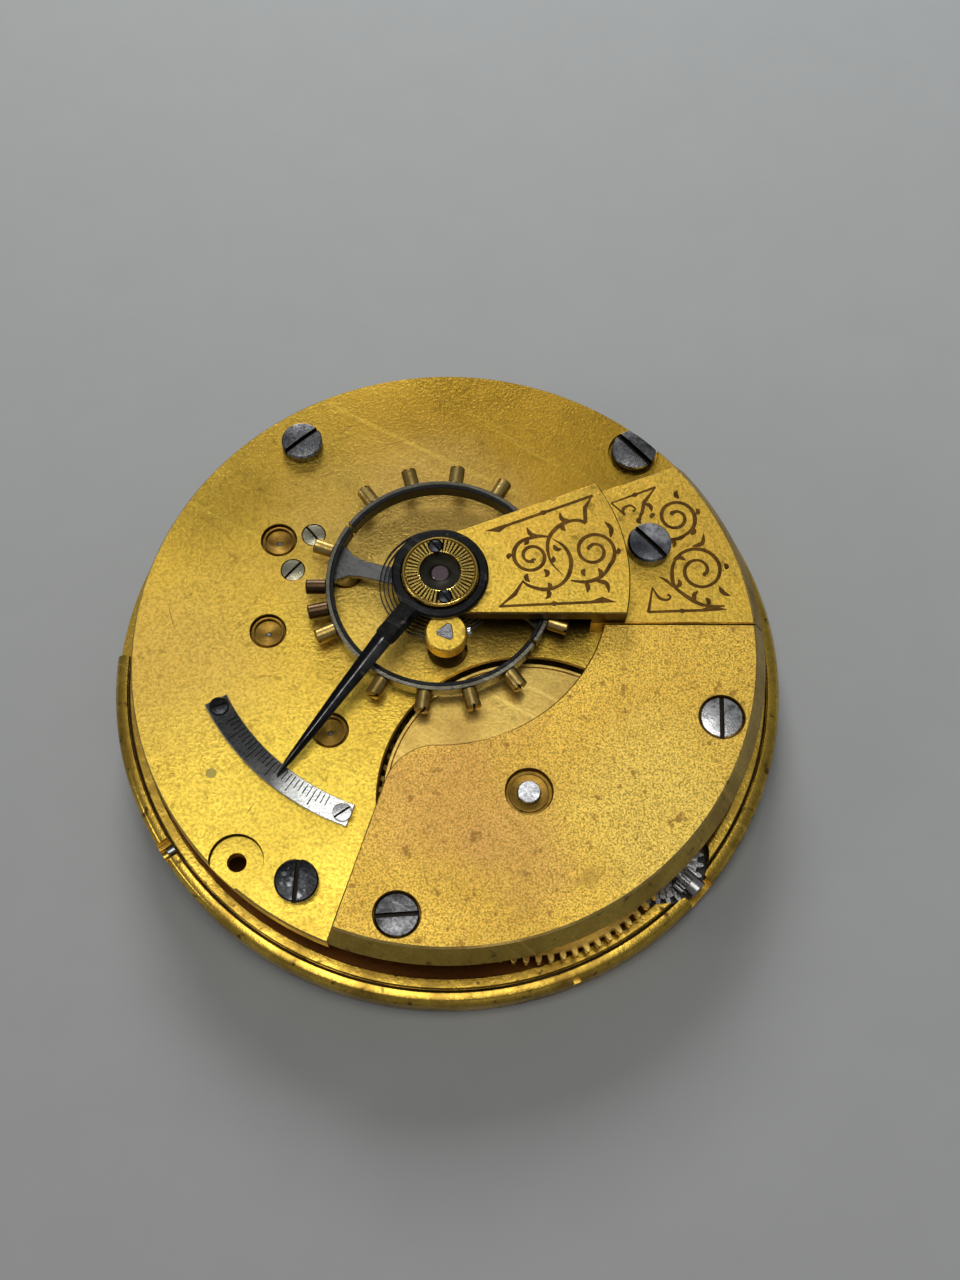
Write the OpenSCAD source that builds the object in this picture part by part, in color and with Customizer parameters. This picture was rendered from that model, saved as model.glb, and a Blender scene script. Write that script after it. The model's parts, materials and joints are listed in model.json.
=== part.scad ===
// Pocket watch movement: 18 size, full plate, stem wound, lever set, jewelled at the balance and
// the pallets, seen from the back with the balance up. Millimetres. The origin is the centre of the
// dial side of the pillar plate, Z points to the back, X right and Y up in the view from the back.

/* [Pillar plate] */
// Radius of the rim that seats in the case
rim_r = 22.43; // [22.3:0.01:22.6]
// Height of the rim's outer band above the dial side
rim_h = 2; // [1.95:0.01:2.1]
// Bevel on the outer band's upper edge
rim_bevel = 0.4; // [0.2:0.05:0.5]
// Width of the outer band, out to the groove
band_w = 0.85; // [0.75:0.05:0.9]
// Width of the groove behind the outer band
groove_w = 0.22; // [0.1:0.02:0.3]
// Width of the raised ridge inside the groove
ridge_w = 0.6; // [0.4:0.05:0.8]
// Height of the ridge above the outer band
ridge_rise = 0.2; // [0.1:0.05:0.3]
// Thickness of the plate's floor
floor_t = 1.75; // [1.72:0.01:1.85]
// Depth of the recess on the dial side for the motion work and winding wheels
recess_d = 0.95; // [0.93:0.01:1.0]
// Angle of the setting lever's slot in the rim
lever_slot_a = -4; // [-6:0.5:0]
// Angle of the winding stem
stem_a = -42.7; // [-44:0.1:-42]
// Angle of the notch over the visible dial foot screw
foot_notch_a = -145.8; // [-148:0.1:-143]
// Angle of the small index nick in the rim
nick_a = -68.3; // [-72:0.1:-66]
// Side of the rim's small nick
nick_w = 0.5; // [0.3:0.05:0.8]
// First angle of the stretch where the outer band is cut away
cut_a0 = 118; // [112:1:124]
// Last angle of the stretch where the outer band is cut away
cut_a1 = 177; // [172:1:180]

/* [Top plate, bridge and cock] */
// Radius of the top plate
top_r = 20.63; // [20.5:0.01:20.7]
// Thickness of the top plate
top_t = 1.36; // [1.3:0.01:1.45]
// Thickness of the barrel bridge and of the cock's foot
bridge_t = 1.47; // [1.4:0.01:1.6]
// Radius of the bridge's and foot's lower outer edge
bridge_low_r = 20.7; // [20.6:0.01:20.9]
// Radius of the bridge's and foot's upper outer edge
bridge_up_r = 19.86; // [19.8:0.01:20.0]
// Direction of the joint between the top plate and the bridge
split_a = -108.3; // [-109:0.1:-107.8]
// Distance of that joint's line from the centre
split_d = 0.84; // [0.7:0.01:1.0]
// Radius of the bridge's edge round the balance
sweep_r = 10.95; // [10.8:0.01:11.1]
// Radius of the rounded corner between that edge and the joint
corner_r = 3.4; // [3.2:0.05:3.6]
// Gap between the bridge and its neighbours
joint_gap = 0.08; // [0.05:0.01:0.12]
// Height of the cock's arm above its foot
arm_rise = 1.52; // [1.45:0.01:1.65]
// Thickness of the cock's arm
arm_t = 1.02; // [0.98:0.01:1.05]
// Radius of the cock's round end
hub_r = 2.62; // [2.55:0.01:2.7]
// Direction of the cock's upper edge
arm_a = 21; // [20:0.1:22]
// Distance from the balance axis to the outer end of the raised arm
arm_out = 12.25; // [12:0.05:12.4]
// Distance from the balance axis to the inner side of the foot
foot_in = 10.1; // [9.9:0.05:10.3]
// Radius of the stud's boss on the cock
boss_r = 1.33; // [1.25:0.01:1.4]
// Depth of the stud's boss
boss_h = 1.2; // [1.15:0.01:1.25]

/* [Pillars and screws] */
// Distance of every pillar from the centre
pillar_at = 18.1; // [18:0.01:18.2]
// Radius of the three pillars under the top plate
pillar_r = 1.6; // [1.4:0.05:1.8]
// Radius of the two pillars under the bridge
bridge_pillar_r = 1.08; // [1.0:0.01:1.12]
// Radius of the pillars' rivets in the pillar plate
rivet_r = 0.8; // [0.7:0.05:0.9]
// Angle of the upper left pillar
pillar_a1 = 123.5; // [122:0.1:125]
// Angle of the lower left pillar
pillar_a2 = -120.7; // [-122:0.1:-120]
// Angle of the pillar hidden under the cock's foot
pillar_a3 = 30.5; // [29:0.1:32]
// Angle of the bridge's lower pillar
pillar_a4 = -99.6; // [-100:0.1:-99.4]
// Angle of the bridge's right pillar
pillar_a5 = -16.4; // [-18:0.1:-15]
// Radius of a plate screw's head
head_r = 1.38; // [1.25:0.01:1.45]
// Height of a plate screw's head
head_h = 0.8; // [0.7:0.05:0.9]
// Radius of a plate screw's shank
shank_r = 0.5; // [0.4:0.02:0.56]
// Depth of a plate screw's thread in its pillar
thread_d = 2; // [1.5:0.1:2.4]
// Width of the screw slots
slot_w = 0.3; // [0.2:0.02:0.4]
// Depth of the screw slots
slot_d = 0.42; // [0.3:0.02:0.5]
// Distance from the raised arm's end to the cock screw's axis
cock_screw_in = 1.71; // [1.6:0.01:1.8]
// Direction of the cock screw from the balance axis
cock_screw_a = 11.4; // [11:0.1:12]
// Height of the cock screw's head
cock_head_h = 1; // [0.8:0.05:1.2]
// Radius of the steady pins
steady_r = 0.4; // [0.3:0.02:0.5]
// Distance of the inner steady pin of the cock from the foot's inner side
steady_in = 2.7; // [2.5:0.05:2.9]
// Distance from the balance axis to the cock's outer steady pin
steady_out = 17.3; // [17:0.05:17.5]
// Distance of the bridge's steady pins from the centre, outer one
bridge_steady_out = 18.6; // [18.4:0.05:18.8]
// Distance of the bridge's steady pins from the centre, inner one
bridge_steady_in = 11.2; // [11:0.05:11.4]
// Distance of the case screws from the centre
case_at = 19.3; // [19.2:0.01:19.4]
// Angle of the case screw
case_a = 49; // [48:0.1:50]
// Angle of the empty case screw hole
case_hole_a = -132.7; // [-134:0.1:-131]
// Radius of the case screw's head
case_head_r = 1.5; // [1.4:0.01:1.6]
// Radius of the case screw's thread
case_shank_r = 0.6; // [0.5:0.01:0.65]
// Radius of the counterbore round a case screw
case_seat_r = 1.72; // [1.7:0.01:1.8]
// Depth of that counterbore
case_seat_d = 0.45; // [0.35:0.05:0.55]
// Distance of the brass plug from the centre
plug_at = 17.19; // [17:0.01:17.4]
// Angle of the brass plug
plug_a = -150.4; // [-152:0.1:-149]
// Radius of the brass plug
plug_r = 0.42; // [0.3:0.01:0.5]

/* [Going train] */
// Distance from the barrel's axis to the centre
barrel_at = 11.27; // [11.2:0.01:11.35]
// Direction of the barrel's axis
barrel_a = -63.1; // [-63.5:0.1:-62.7]
// Distance from the centre to the third wheel's axis
third_at = 9.35; // [9.3:0.01:9.4]
// Direction of the third wheel's axis
third_a = -143.4; // [-144:0.1:-143]
// Distance from the third to the fourth wheel's axis
fourth_at = 8.07; // [8.02:0.01:8.12]
// Direction of the fourth wheel's axis from the third's
fourth_a = 121.9; // [121:0.1:122.5]
// Distance from the fourth to the escape wheel's axis
escape_at = 6.62; // [6.58:0.01:6.68]
// Direction of the escape wheel's axis from the fourth's
escape_a = 86.1; // [85.5:0.1:87]
// Distance from the escape wheel's to the pallets' axis
pallet_at = 5.08; // [5.04:0.01:5.1]
// Direction of the pallets' axis from the escape wheel's
pallet_a = -27.3; // [-28:0.1:-27]
// Distance from the centre to the balance axis
balance_at = 3.98; // [3.94:0.01:4.02]
// Direction of the balance axis
balance_a = 97.2; // [96.5:0.1:98]
// Teeth of the barrel
barrel_n = 78;
// Leaves of the centre pinion
centre_leaves = 12;
// Teeth of the centre wheel
centre_n = 75;
// Leaves of the third pinion
third_leaves = 10;
// Teeth of the third wheel
third_n = 80;
// Leaves of the fourth pinion
fourth_leaves = 10;
// Teeth of the fourth wheel
fourth_n = 80;
// Leaves of the escape pinion
escape_leaves = 8;
// Teeth of the escape wheel
escape_n = 15;
// Thickness of the centre wheel
centre_t = 0.4; // [0.35:0.01:0.45]
// Thickness of the third, fourth and escape wheels
wheel_t = 0.3; // [0.25:0.01:0.35]
// Free height between the floor and the centre wheel
gap_floor = 0.2; // [0.15:0.01:0.25]
// Free height between the centre wheel and the third wheel
gap_third = 0.15; // [0.12:0.01:0.2]
// Free height between the third wheel and the fourth wheel
gap_fourth = 0.3; // [0.25:0.01:0.35]
// Free height between the fourth wheel and the escape wheel
gap_escape = 0.3; // [0.25:0.01:0.35]
// Free height between the escape wheel and the lever
gap_lever = 0.15; // [0.12:0.01:0.2]
// Thickness of the lever
lever_t = 0.3; // [0.25:0.01:0.35]
// Free height between the lever and the top plate
gap_top = 0.25; // [0.2:0.01:0.35]
// Radius of the train's arbors
arbor_r = 0.24; // [0.2:0.01:0.26]
// Radius of the train's pivots
pivot_r = 0.14; // [0.1:0.01:0.15]
// Radius of the fourth arbor's lower journal, above the seconds hand's seat
fourth_journal_r = 0.3; // [0.3:0.01:0.34]
// Radius of the fourth arbor below its pinion
fourth_body_r = 0.4; // [0.38:0.01:0.46]
// Play of an arbor between the plates, at each end
endshake = 0.04; // [0.02:0.01:0.06]
// Clearance round a turning pivot
run_c = 0.03; // [0.02:0.005:0.04]
// Radius of the oil sinks round the train's pivots
sink_r = 1.2; // [1.0:0.02:1.25]
// Depth of the oil sinks
sink_d = 0.75; // [0.6:0.02:0.85]
// Radius of the centre arbor
centre_r = 0.55; // [0.5:0.01:0.6]
// Radius of the centre arbor's pivots
centre_pivot_r = 0.4; // [0.36:0.01:0.44]

/* [Barrel and winding] */
// Free height under the barrel, above the third wheel
gap_barrel = 0.2; // [0.15:0.01:0.25]
// Free height between the barrel's cap and the bridge
gap_cap = 0.2; // [0.15:0.01:0.3]
// Height of the barrel's toothed ring
barrel_tooth_h = 0.6; // [0.5:0.02:0.7]
// Radius of the barrel's drum
drum_r = 9.2; // [9.1:0.01:9.3]
// Wall of the drum
drum_wall = 0.4; // [0.3:0.02:0.5]
// Thickness of the barrel's floor and cap
cap_t = 0.35; // [0.3:0.01:0.4]
// Gap between the drum and the top plate's edge round it
drum_gap = 0.3; // [0.2:0.02:0.35]
// Radius of the arbor's core, where the mainspring hooks on
core_r = 2; // [1.8:0.05:2.2]
// Radius of the arbor's journals in the barrel and the pillar plate
journal_r = 0.9; // [0.8:0.02:1.0]
// Radius of the arbor's visible end in the bridge
arbor_end_r = 0.72; // [0.65:0.01:0.76]
// Radius of the sink round the arbor's end
arbor_sink_r = 1.45; // [1.3:0.02:1.6]
// Thickness of the mainspring
spring_t = 0.2; // [0.15:0.01:0.25]
// Turns of the mainspring that the drawing holds
spring_turns = 9; // [7:1:11]
// Teeth of the ratchet wheel
ratchet_n = 50;
// Teeth of the crown wheel
crown_n = 28;
// Contrate teeth on the crown wheel's back
contrate_n = 36;
// Leaves of the winding pinion
winding_n = 10;
// Distance of the crown wheel from the centre
crown_at = 18.4; // [18.3:0.01:18.45]
// Thickness of the winding wheels
winding_t = 0.5; // [0.45:0.01:0.55]
// Free height below the winding wheels, to the dial
gap_dial = 0.35; // [0.32:0.01:0.38]
// Outer radius of the contrate teeth
contrate_r = 2.86; // [2.78:0.01:2.87]
// Width of the contrate teeth
contrate_w = 0.6; // [0.5:0.02:0.7]
// Height of the contrate teeth
contrate_h = 0.33; // [0.28:0.01:0.36]
// Side of the square hole for the stem
stem_square = 0.62; // [0.5:0.02:0.7]
// Radius of the dial side shoulder screws' shoulders
shoulder_r = 0.55; // [0.5:0.01:0.6]
// Radius of the dial side shoulder screws' heads
shoulder_head_r = 1; // [0.9:0.02:1.1]
// Radius of the click's hub
click_r = 1.2; // [1.1:0.05:1.3]
// Distance from the ratchet wheel's teeth to the click's pivot
click_at = 2.2; // [2.1:0.05:2.4]
// Direction of the click's pivot from the barrel's axis
click_a = 196; // [194:1:198]
// Distance from the click's pivot to its spring's screw
click_spring_at = 3.4; // [3.3:0.05:3.5]
// Direction of the click spring's screw from the click's pivot
click_spring_a = 232; // [230:1:236]
// Gap between the click and the ratchet wheel's teeth
click_gap = 0.08; // [0.05:0.01:0.12]
// Thickness of the click's spring
click_spring_t = 0.22; // [0.18:0.01:0.28]

/* [Motion work] */
// Distance of the minute wheel's post from the centre
minute_at = 3.84; // [3.8:0.01:3.88]
// Direction of the minute wheel's post
minute_a = 110; // [105:1:115]
// Leaves of the cannon pinion
cannon_n = 12;
// Teeth of the minute wheel
minute_n = 36;
// Leaves on the minute wheel
minute_leaves = 10;
// Teeth of the hour wheel
hour_n = 40;
// Thickness of the hour wheel and of the minute wheel
motion_t = 0.25; // [0.2:0.01:0.28]
// Outer radius of the cannon pinion's tube
cannon_r = 0.72; // [0.68:0.01:0.74]
// Radius of the minute hand's seat
minute_seat_r = 0.56; // [0.5:0.01:0.56]
// Length of the minute hand's seat
minute_seat_l = 0.8; // [0.6:0.05:1]
// Outer radius of the hour wheel's pipe
hour_pipe_r = 1.1; // [1.05:0.01:1.2]
// Reach of the hour wheel's pipe below the dial side
hour_reach = 1.7; // [1.5:0.05:1.8]
// Reach of the cannon pinion below the dial side
cannon_reach = 2.7; // [2.65:0.05:3]
// Reach of the seconds pivot below the dial side
seconds_reach = 1.8; // [1.5:0.05:2]
// Distance from the rim to the axes of the dial feet
dial_foot_in = 2.98; // [2.9:0.01:3.0]
// Radius of the holes for the dial feet
dial_foot_r = 0.45; // [0.4:0.01:0.46]
// Radius of the dial foot screws
dial_screw_r = 0.4; // [0.3:0.01:0.45]

/* [Escapement and balance] */
// Gap between the escape wheel's teeth and the stones at mid swing
stone_gap = 0.27; // [0.25:0.01:0.3]
// Width of a pallet stone
stone_w = 0.42; // [0.36:0.01:0.46]
// Length of a pallet stone
stone_l = 1; // [0.9:0.02:1.1]
// Radius of the roller table
roller_r = 1.5; // [1.4:0.02:1.55]
// Distance of the roller jewel from the balance axis
jewel_at = 1.05; // [1:0.01:1.1]
// Radius of the roller jewel
jewel_r = 0.2; // [0.15:0.01:0.22]
// Gap between the roller jewel's end and the fork
jewel_gap = 0.05; // [0.03:0.01:0.07]
// Radius of the banking pins
banking_r = 0.25; // [0.2:0.01:0.27]
// Distance of the banking pins from the pallets' axis
banking_at = 3.5; // [3.4:0.02:3.6]
// Direction of the first banking pin from the pallets' axis
banking_a0 = 129; // [128:0.5:130]
// Direction of the second banking pin from the pallets' axis
banking_a1 = 178; // [177:0.5:179]
// Swing of the lever to each side
lever_swing = 4.8; // [4.6:0.1:5]
// Outer radius of the balance rim
balance_r = 7.45; // [7.35:0.01:7.5]
// Radial thickness of the rim's brass
rim_brass = 0.27; // [0.2:0.01:0.35]
// Radial thickness of the rim's steel
rim_steel = 0.25; // [0.2:0.01:0.35]
// Height of the balance rim
balance_h = 1.1; // [1.0:0.01:1.12]
// Free height between the top plate and the balance rim
gap_balance = 0.74; // [0.65:0.01:0.76]
// Thickness of the balance arm
balance_arm_t = 0.4; // [0.35:0.01:0.45]
// Width of the balance arm at its middle
balance_arm_w = 1.15; // [1:0.05:1.3]
// Direction of the balance arm at rest
balance_arm_a = 165.5; // [160:0.5:170]
// Angle from the arm to the cut in the rim
balance_cut_a = -20; // [-22:0.5:-19]
// Radius of the balance screws' heads
balance_screw_r = 0.5; // [0.45:0.01:0.52]
// Length of the balance screws' heads
balance_screw_l = 1.35; // [1.2:0.05:1.45]
// Radius of the balance staff
staff_r = 0.35; // [0.3:0.01:0.4]
// Radius of the balance pivots
staff_pivot_r = 0.09; // [0.07:0.01:0.11]
// Radius of the potance's foot
potance_r = 1.3; // [1.2:0.02:1.4]
// Distance of the potance's foot from the balance axis
potance_at = 4.88; // [4.8:0.02:5]
// Direction of the potance's foot from the balance axis
potance_a = 33; // [30:1:36]
// Width of the potance's arm
potance_w = 1.8; // [1.5:0.05:2]
// Thickness of the potance's arm
potance_t = 0.7; // [0.6:0.02:0.75]

/* [Hairspring and regulator] */
// Distance of the stud from the balance axis
stud_at = 3.95; // [3.9:0.01:4]
// Direction of the stud from the balance axis
stud_a = -84.3; // [-86:0.1:-83]
// Turns of the hairspring between collet and end curve
hair_turns = 5; // [4:1:5]
// Thickness of the hairspring's strip
hair_t = 0.08; // [0.06:0.01:0.1]
// Height of the hairspring's strip
hair_h = 0.24; // [0.2:0.01:0.26]
// Radius of the hairspring's collet
collet_r = 0.85; // [0.8:0.01:0.87]
// Radius of the regulator's ring
regulator_r = 3.12; // [3.0:0.01:3.2]
// Thickness of the regulator's ring
regulator_t = 0.42; // [0.38:0.01:0.46]
// Length of the regulator from the balance axis to the pointer's tip
pointer_l = 16.65; // [16.5:0.05:16.8]
// Width of the pointer at its root
pointer_w = 1.35; // [1.2:0.05:1.5]
// Direction of the pointer at rest
pointer_a = 231.4; // [229:0.1:234]
// Gap between each curb pin and the hairspring
curb_gap = 0.1; // [0.08:0.01:0.12]
// Radius of the curb pins
curb_r = 0.08; // [0.06:0.01:0.1]
// Inner radius of the index plate, from the balance axis
index_r0 = 15.5; // [15.4:0.01:15.6]
// Width of the index plate
index_w = 1.55; // [1.5:0.01:1.65]
// Thickness of the index plate
index_t = 0.4; // [0.3:0.02:0.45]
// Direction of the index plate's middle from the balance axis
index_a = 229; // [228.5:0.1:229.5]
// Half of the index plate's angle
index_half = 21.2; // [21:0.1:21.5]
// Radius of the balance cap
cap_r = 2.45; // [2.4:0.01:2.5]
// Thickness of the balance cap
balance_cap_t = 0.7; // [0.6:0.01:0.75]
// Radius of the dark setting in the cap
setting_r = 1.35; // [1.3:0.01:1.4]
// Radius of the balance jewels
gem_r = 0.55; // [0.5:0.01:0.6]
// Distance of the cap's screws from the balance axis
cap_screw_at = 1.8; // [1.75:0.01:1.85]
// Radius of the cap screws' heads
cap_screw_r = 0.45; // [0.4:0.01:0.48]

/* [Setting lever] */
// Distance of the setting lever's pivot from the centre
set_pivot_at = 17.2; // [17.1:0.05:17.4]
// Angle from the lever's slot to its pivot, seen from the centre
set_pivot_a = 22; // [21:0.5:23]
// Width of the setting lever
set_w = 1.3; // [1.1:0.05:1.4]
// Swing of the setting lever
set_swing = 12; // [10:1:14]

/* [Hidden] */
$fn = 64;
tiny = 0.01;

// Places in plan
function polar(r, a) = [r * cos(a), r * sin(a)];
function heading(p, q) = atan2(q[1] - p[1], q[0] - p[0]);
centre_p = [0, 0];
barrel_p = polar(barrel_at, barrel_a);
third_p = polar(third_at, third_a);
fourth_p = third_p + polar(fourth_at, fourth_a);
escape_p = fourth_p + polar(escape_at, escape_a);
pallet_p = escape_p + polar(pallet_at, pallet_a);
balance_p = polar(balance_at, balance_a);
crown_p = polar(crown_at, stem_a);
minute_p = polar(minute_at, minute_a);
potance_p = balance_p + polar(potance_at, potance_a);
stud_p = balance_p + polar(stud_at, stud_a);
dial_foot_at = rim_r - dial_foot_in;
cock_screw_p = balance_p + polar(arm_out + cock_screw_in, cock_screw_a);
set_p = polar(set_pivot_at, lever_slot_a + set_pivot_a);
case_p = polar(case_at, case_a);
case_hole_p = polar(case_at, case_hole_a);
plug_p = polar(plug_at, plug_a);
top_pillars = [for (a = [pillar_a1, pillar_a2, pillar_a3]) polar(pillar_at, a)];
bridge_pillars = [for (a = [pillar_a4, pillar_a5]) polar(pillar_at, a)];
fork_a = heading(pallet_p, balance_p);
fork_l = norm(balance_p - pallet_p);
dial_feet = [for (k = [0:2]) foot_notch_a + 120 * k];

// Heights
z_centre = floor_t + gap_floor;
z_third = z_centre + centre_t + gap_third;
z_fourth = z_third + wheel_t + gap_fourth;
z_escape = z_fourth + wheel_t + gap_escape;
z_lever = z_escape + wheel_t + gap_lever;
z_under = z_lever + lever_t + gap_top;
z_face = z_under + top_t;
z_bridge = z_face + bridge_t;
z_arm = z_bridge + arm_rise;
z_arm_low = z_arm - arm_t;
z_barrel = z_third + wheel_t + gap_barrel;
z_cap = z_face - gap_cap;
z_rim = z_face + gap_balance;
z_balance_arm = z_rim + balance_arm_t;
z_hair = (z_balance_arm + z_arm_low) / 2;
z_roller = z_escape - 0.15;
roller_t = 0.35;
z_potance = z_roller - 0.2;
z_ring = z_arm + 0.02;
z_cap_top = z_ring + balance_cap_t;
z_sink = z_face - sink_d;

// Sizes of the toothed pairs, from the distance between their axes
function pitch_r(at, n, mate) = at * n / (n + mate);
function modulus(at, n, mate) = 2 * at / (n + mate);
addendum = 0.85;
leaf_addendum = 0.75;
dedendum = 1.15;
escape_r = pallet_at * cos(30);
winding_d = norm(barrel_p - crown_p);
minute_d = minute_at;
contrate_mid = contrate_r - contrate_w / 2;
winding_r = contrate_mid * winding_n / contrate_n;
winding_m = 2 * winding_r / winding_n;
z_contrate = gap_dial + winding_t + contrate_h * 0.62;
z_stem = z_contrate + winding_r;
stem_r0 = crown_at + 0.6;
stem_r1 = rim_r - 0.35;
fit = 0.02;

// A toothed outline with its first tooth at the angle given
module toothed(n, pitch, m, phase, add) {
    step = 360 / n;
    tip = pitch + add * m;
    root = pitch - dedendum * m;
    polygon([for (i = [0:n - 1], k = [[root, -0.29], [tip, -0.12], [tip, 0.12], [root, 0.29]])
        polar(k[0], phase + step * (i + k[1]))]);
}

// Places its children at a point in plan
module at(p, z = 0) {
    translate([p[0], p[1], z]) children();
}

// A disc or drum from one height to another
module drum(r, z0, z1) {
    translate([0, 0, z0]) cylinder(r = r, h = z1 - z0);
}

// A wheel with crossings: teeth, a narrow rim, arms and a hub with a bore
module crossed_wheel(n, mate, dist, phase, z, t, bore, arms, rim_w, arm_w, hub) {
    pitch = pitch_r(dist, n, mate);
    m = modulus(dist, n, mate);
    inner = pitch - dedendum * m - rim_w;
    difference() {
        translate([0, 0, z]) linear_extrude(t) toothed(n, pitch, m, phase, addendum);
        difference() {
            drum(inner, z - tiny, z + t + tiny);
            drum(hub, z - 2 * tiny, z + t + 2 * tiny);
            for (k = [0:arms - 1]) rotate(k * 360 / arms + 11)
                translate([0, -arm_w / 2, z - 2 * tiny]) cube([inner + 1, arm_w, t + 4 * tiny]);
        }
        drum(bore, z - tiny, z + t + tiny);
    }
}

// A pinion's leaves, with its bore
module leaves(n, mate, dist, phase, z, h, bore) {
    pitch = pitch_r(dist, n, mate);
    m = modulus(dist, n, mate);
    difference() {
        translate([0, 0, z]) linear_extrude(h) toothed(n, pitch, m, phase, leaf_addendum);
        if (bore > 0) drum(bore, z - tiny, z + h + tiny);
    }
}

// A round head with a chamfered edge and a slot
module slotted_head(r, h, w, d, a) {
    chamfer = min(0.15, h / 3);
    difference() {
        union() {
            cylinder(r = r, h = h - chamfer);
            translate([0, 0, h - chamfer]) cylinder(r1 = r, r2 = r - chamfer, h = chamfer);
        }
        rotate(a) translate([-r - 1, -w / 2, h - d]) cube([2 * r + 2, w, d + 1]);
    }
}

// A screw with its seat at the height given, its shank below
module screw(p, z, r, h, shank, length, w, d, a) {
    at(p, z) slotted_head(r, h, w, d, a);
    at(p, z - length) cylinder(r = shank, h = length + tiny);
}

// The frame: pillar plate, pillars, top plate, bridge and cock
module ring_sector(r0, r1, a0, a1, z0, z1) {
    n = max(2, ceil((a1 - a0) / 6));
    far = r1 / cos((a1 - a0) / n / 2) + 0.5;
    intersection() {
        difference() {
            drum(r1, z0, z1);
            drum(r0, z0 - 1, z1 + 1);
        }
        translate([0, 0, z0]) linear_extrude(z1 - z0)
            polygon(concat([[0, 0]], [for (i = [0:n]) polar(far, a0 + (a1 - a0) * i / n)]));
    }
}

module radial_box(a, r0, r1, w, z0, z1) {
    rotate(a) translate([r0, -w / 2, z0]) cube([r1 - r0, w, z1 - z0]);
}

minute_pitch = pitch_r(minute_d, minute_n, cannon_n);
minute_m = modulus(minute_d, minute_n, cannon_n);
hour_pitch = pitch_r(minute_d, hour_n, minute_leaves);
hour_m = modulus(minute_d, hour_n, minute_leaves);
ratchet_pitch = pitch_r(winding_d, ratchet_n, crown_n);
winding_gear_m = modulus(winding_d, ratchet_n, crown_n);
ratchet_tip = ratchet_pitch + addendum * winding_gear_m;
crown_pitch = winding_d - ratchet_pitch;
crown_tip = crown_pitch + addendum * winding_gear_m;
recess_gap = 0.2;
crown_recess = z_contrate + contrate_h * 0.38 + 0.12;
window_r = crown_at + 1.35;
notch_w = 2 * (winding_r + winding_m) + 0.3;
block_w = 2;
block_top = z_stem + 0.75;
click_p = barrel_p + polar(ratchet_tip + click_at, click_a);
click_tip_a = heading(click_p, barrel_p);
click_len = norm(click_p - barrel_p) - ratchet_tip - click_gap;
spring_foot_p = click_p + polar(click_spring_at, click_spring_a);
set_tip_p = polar(rim_r - 0.6, lever_slot_a);
set_dir = heading(set_p, set_tip_p);
set_reach = norm(set_tip_p - set_p);

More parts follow.
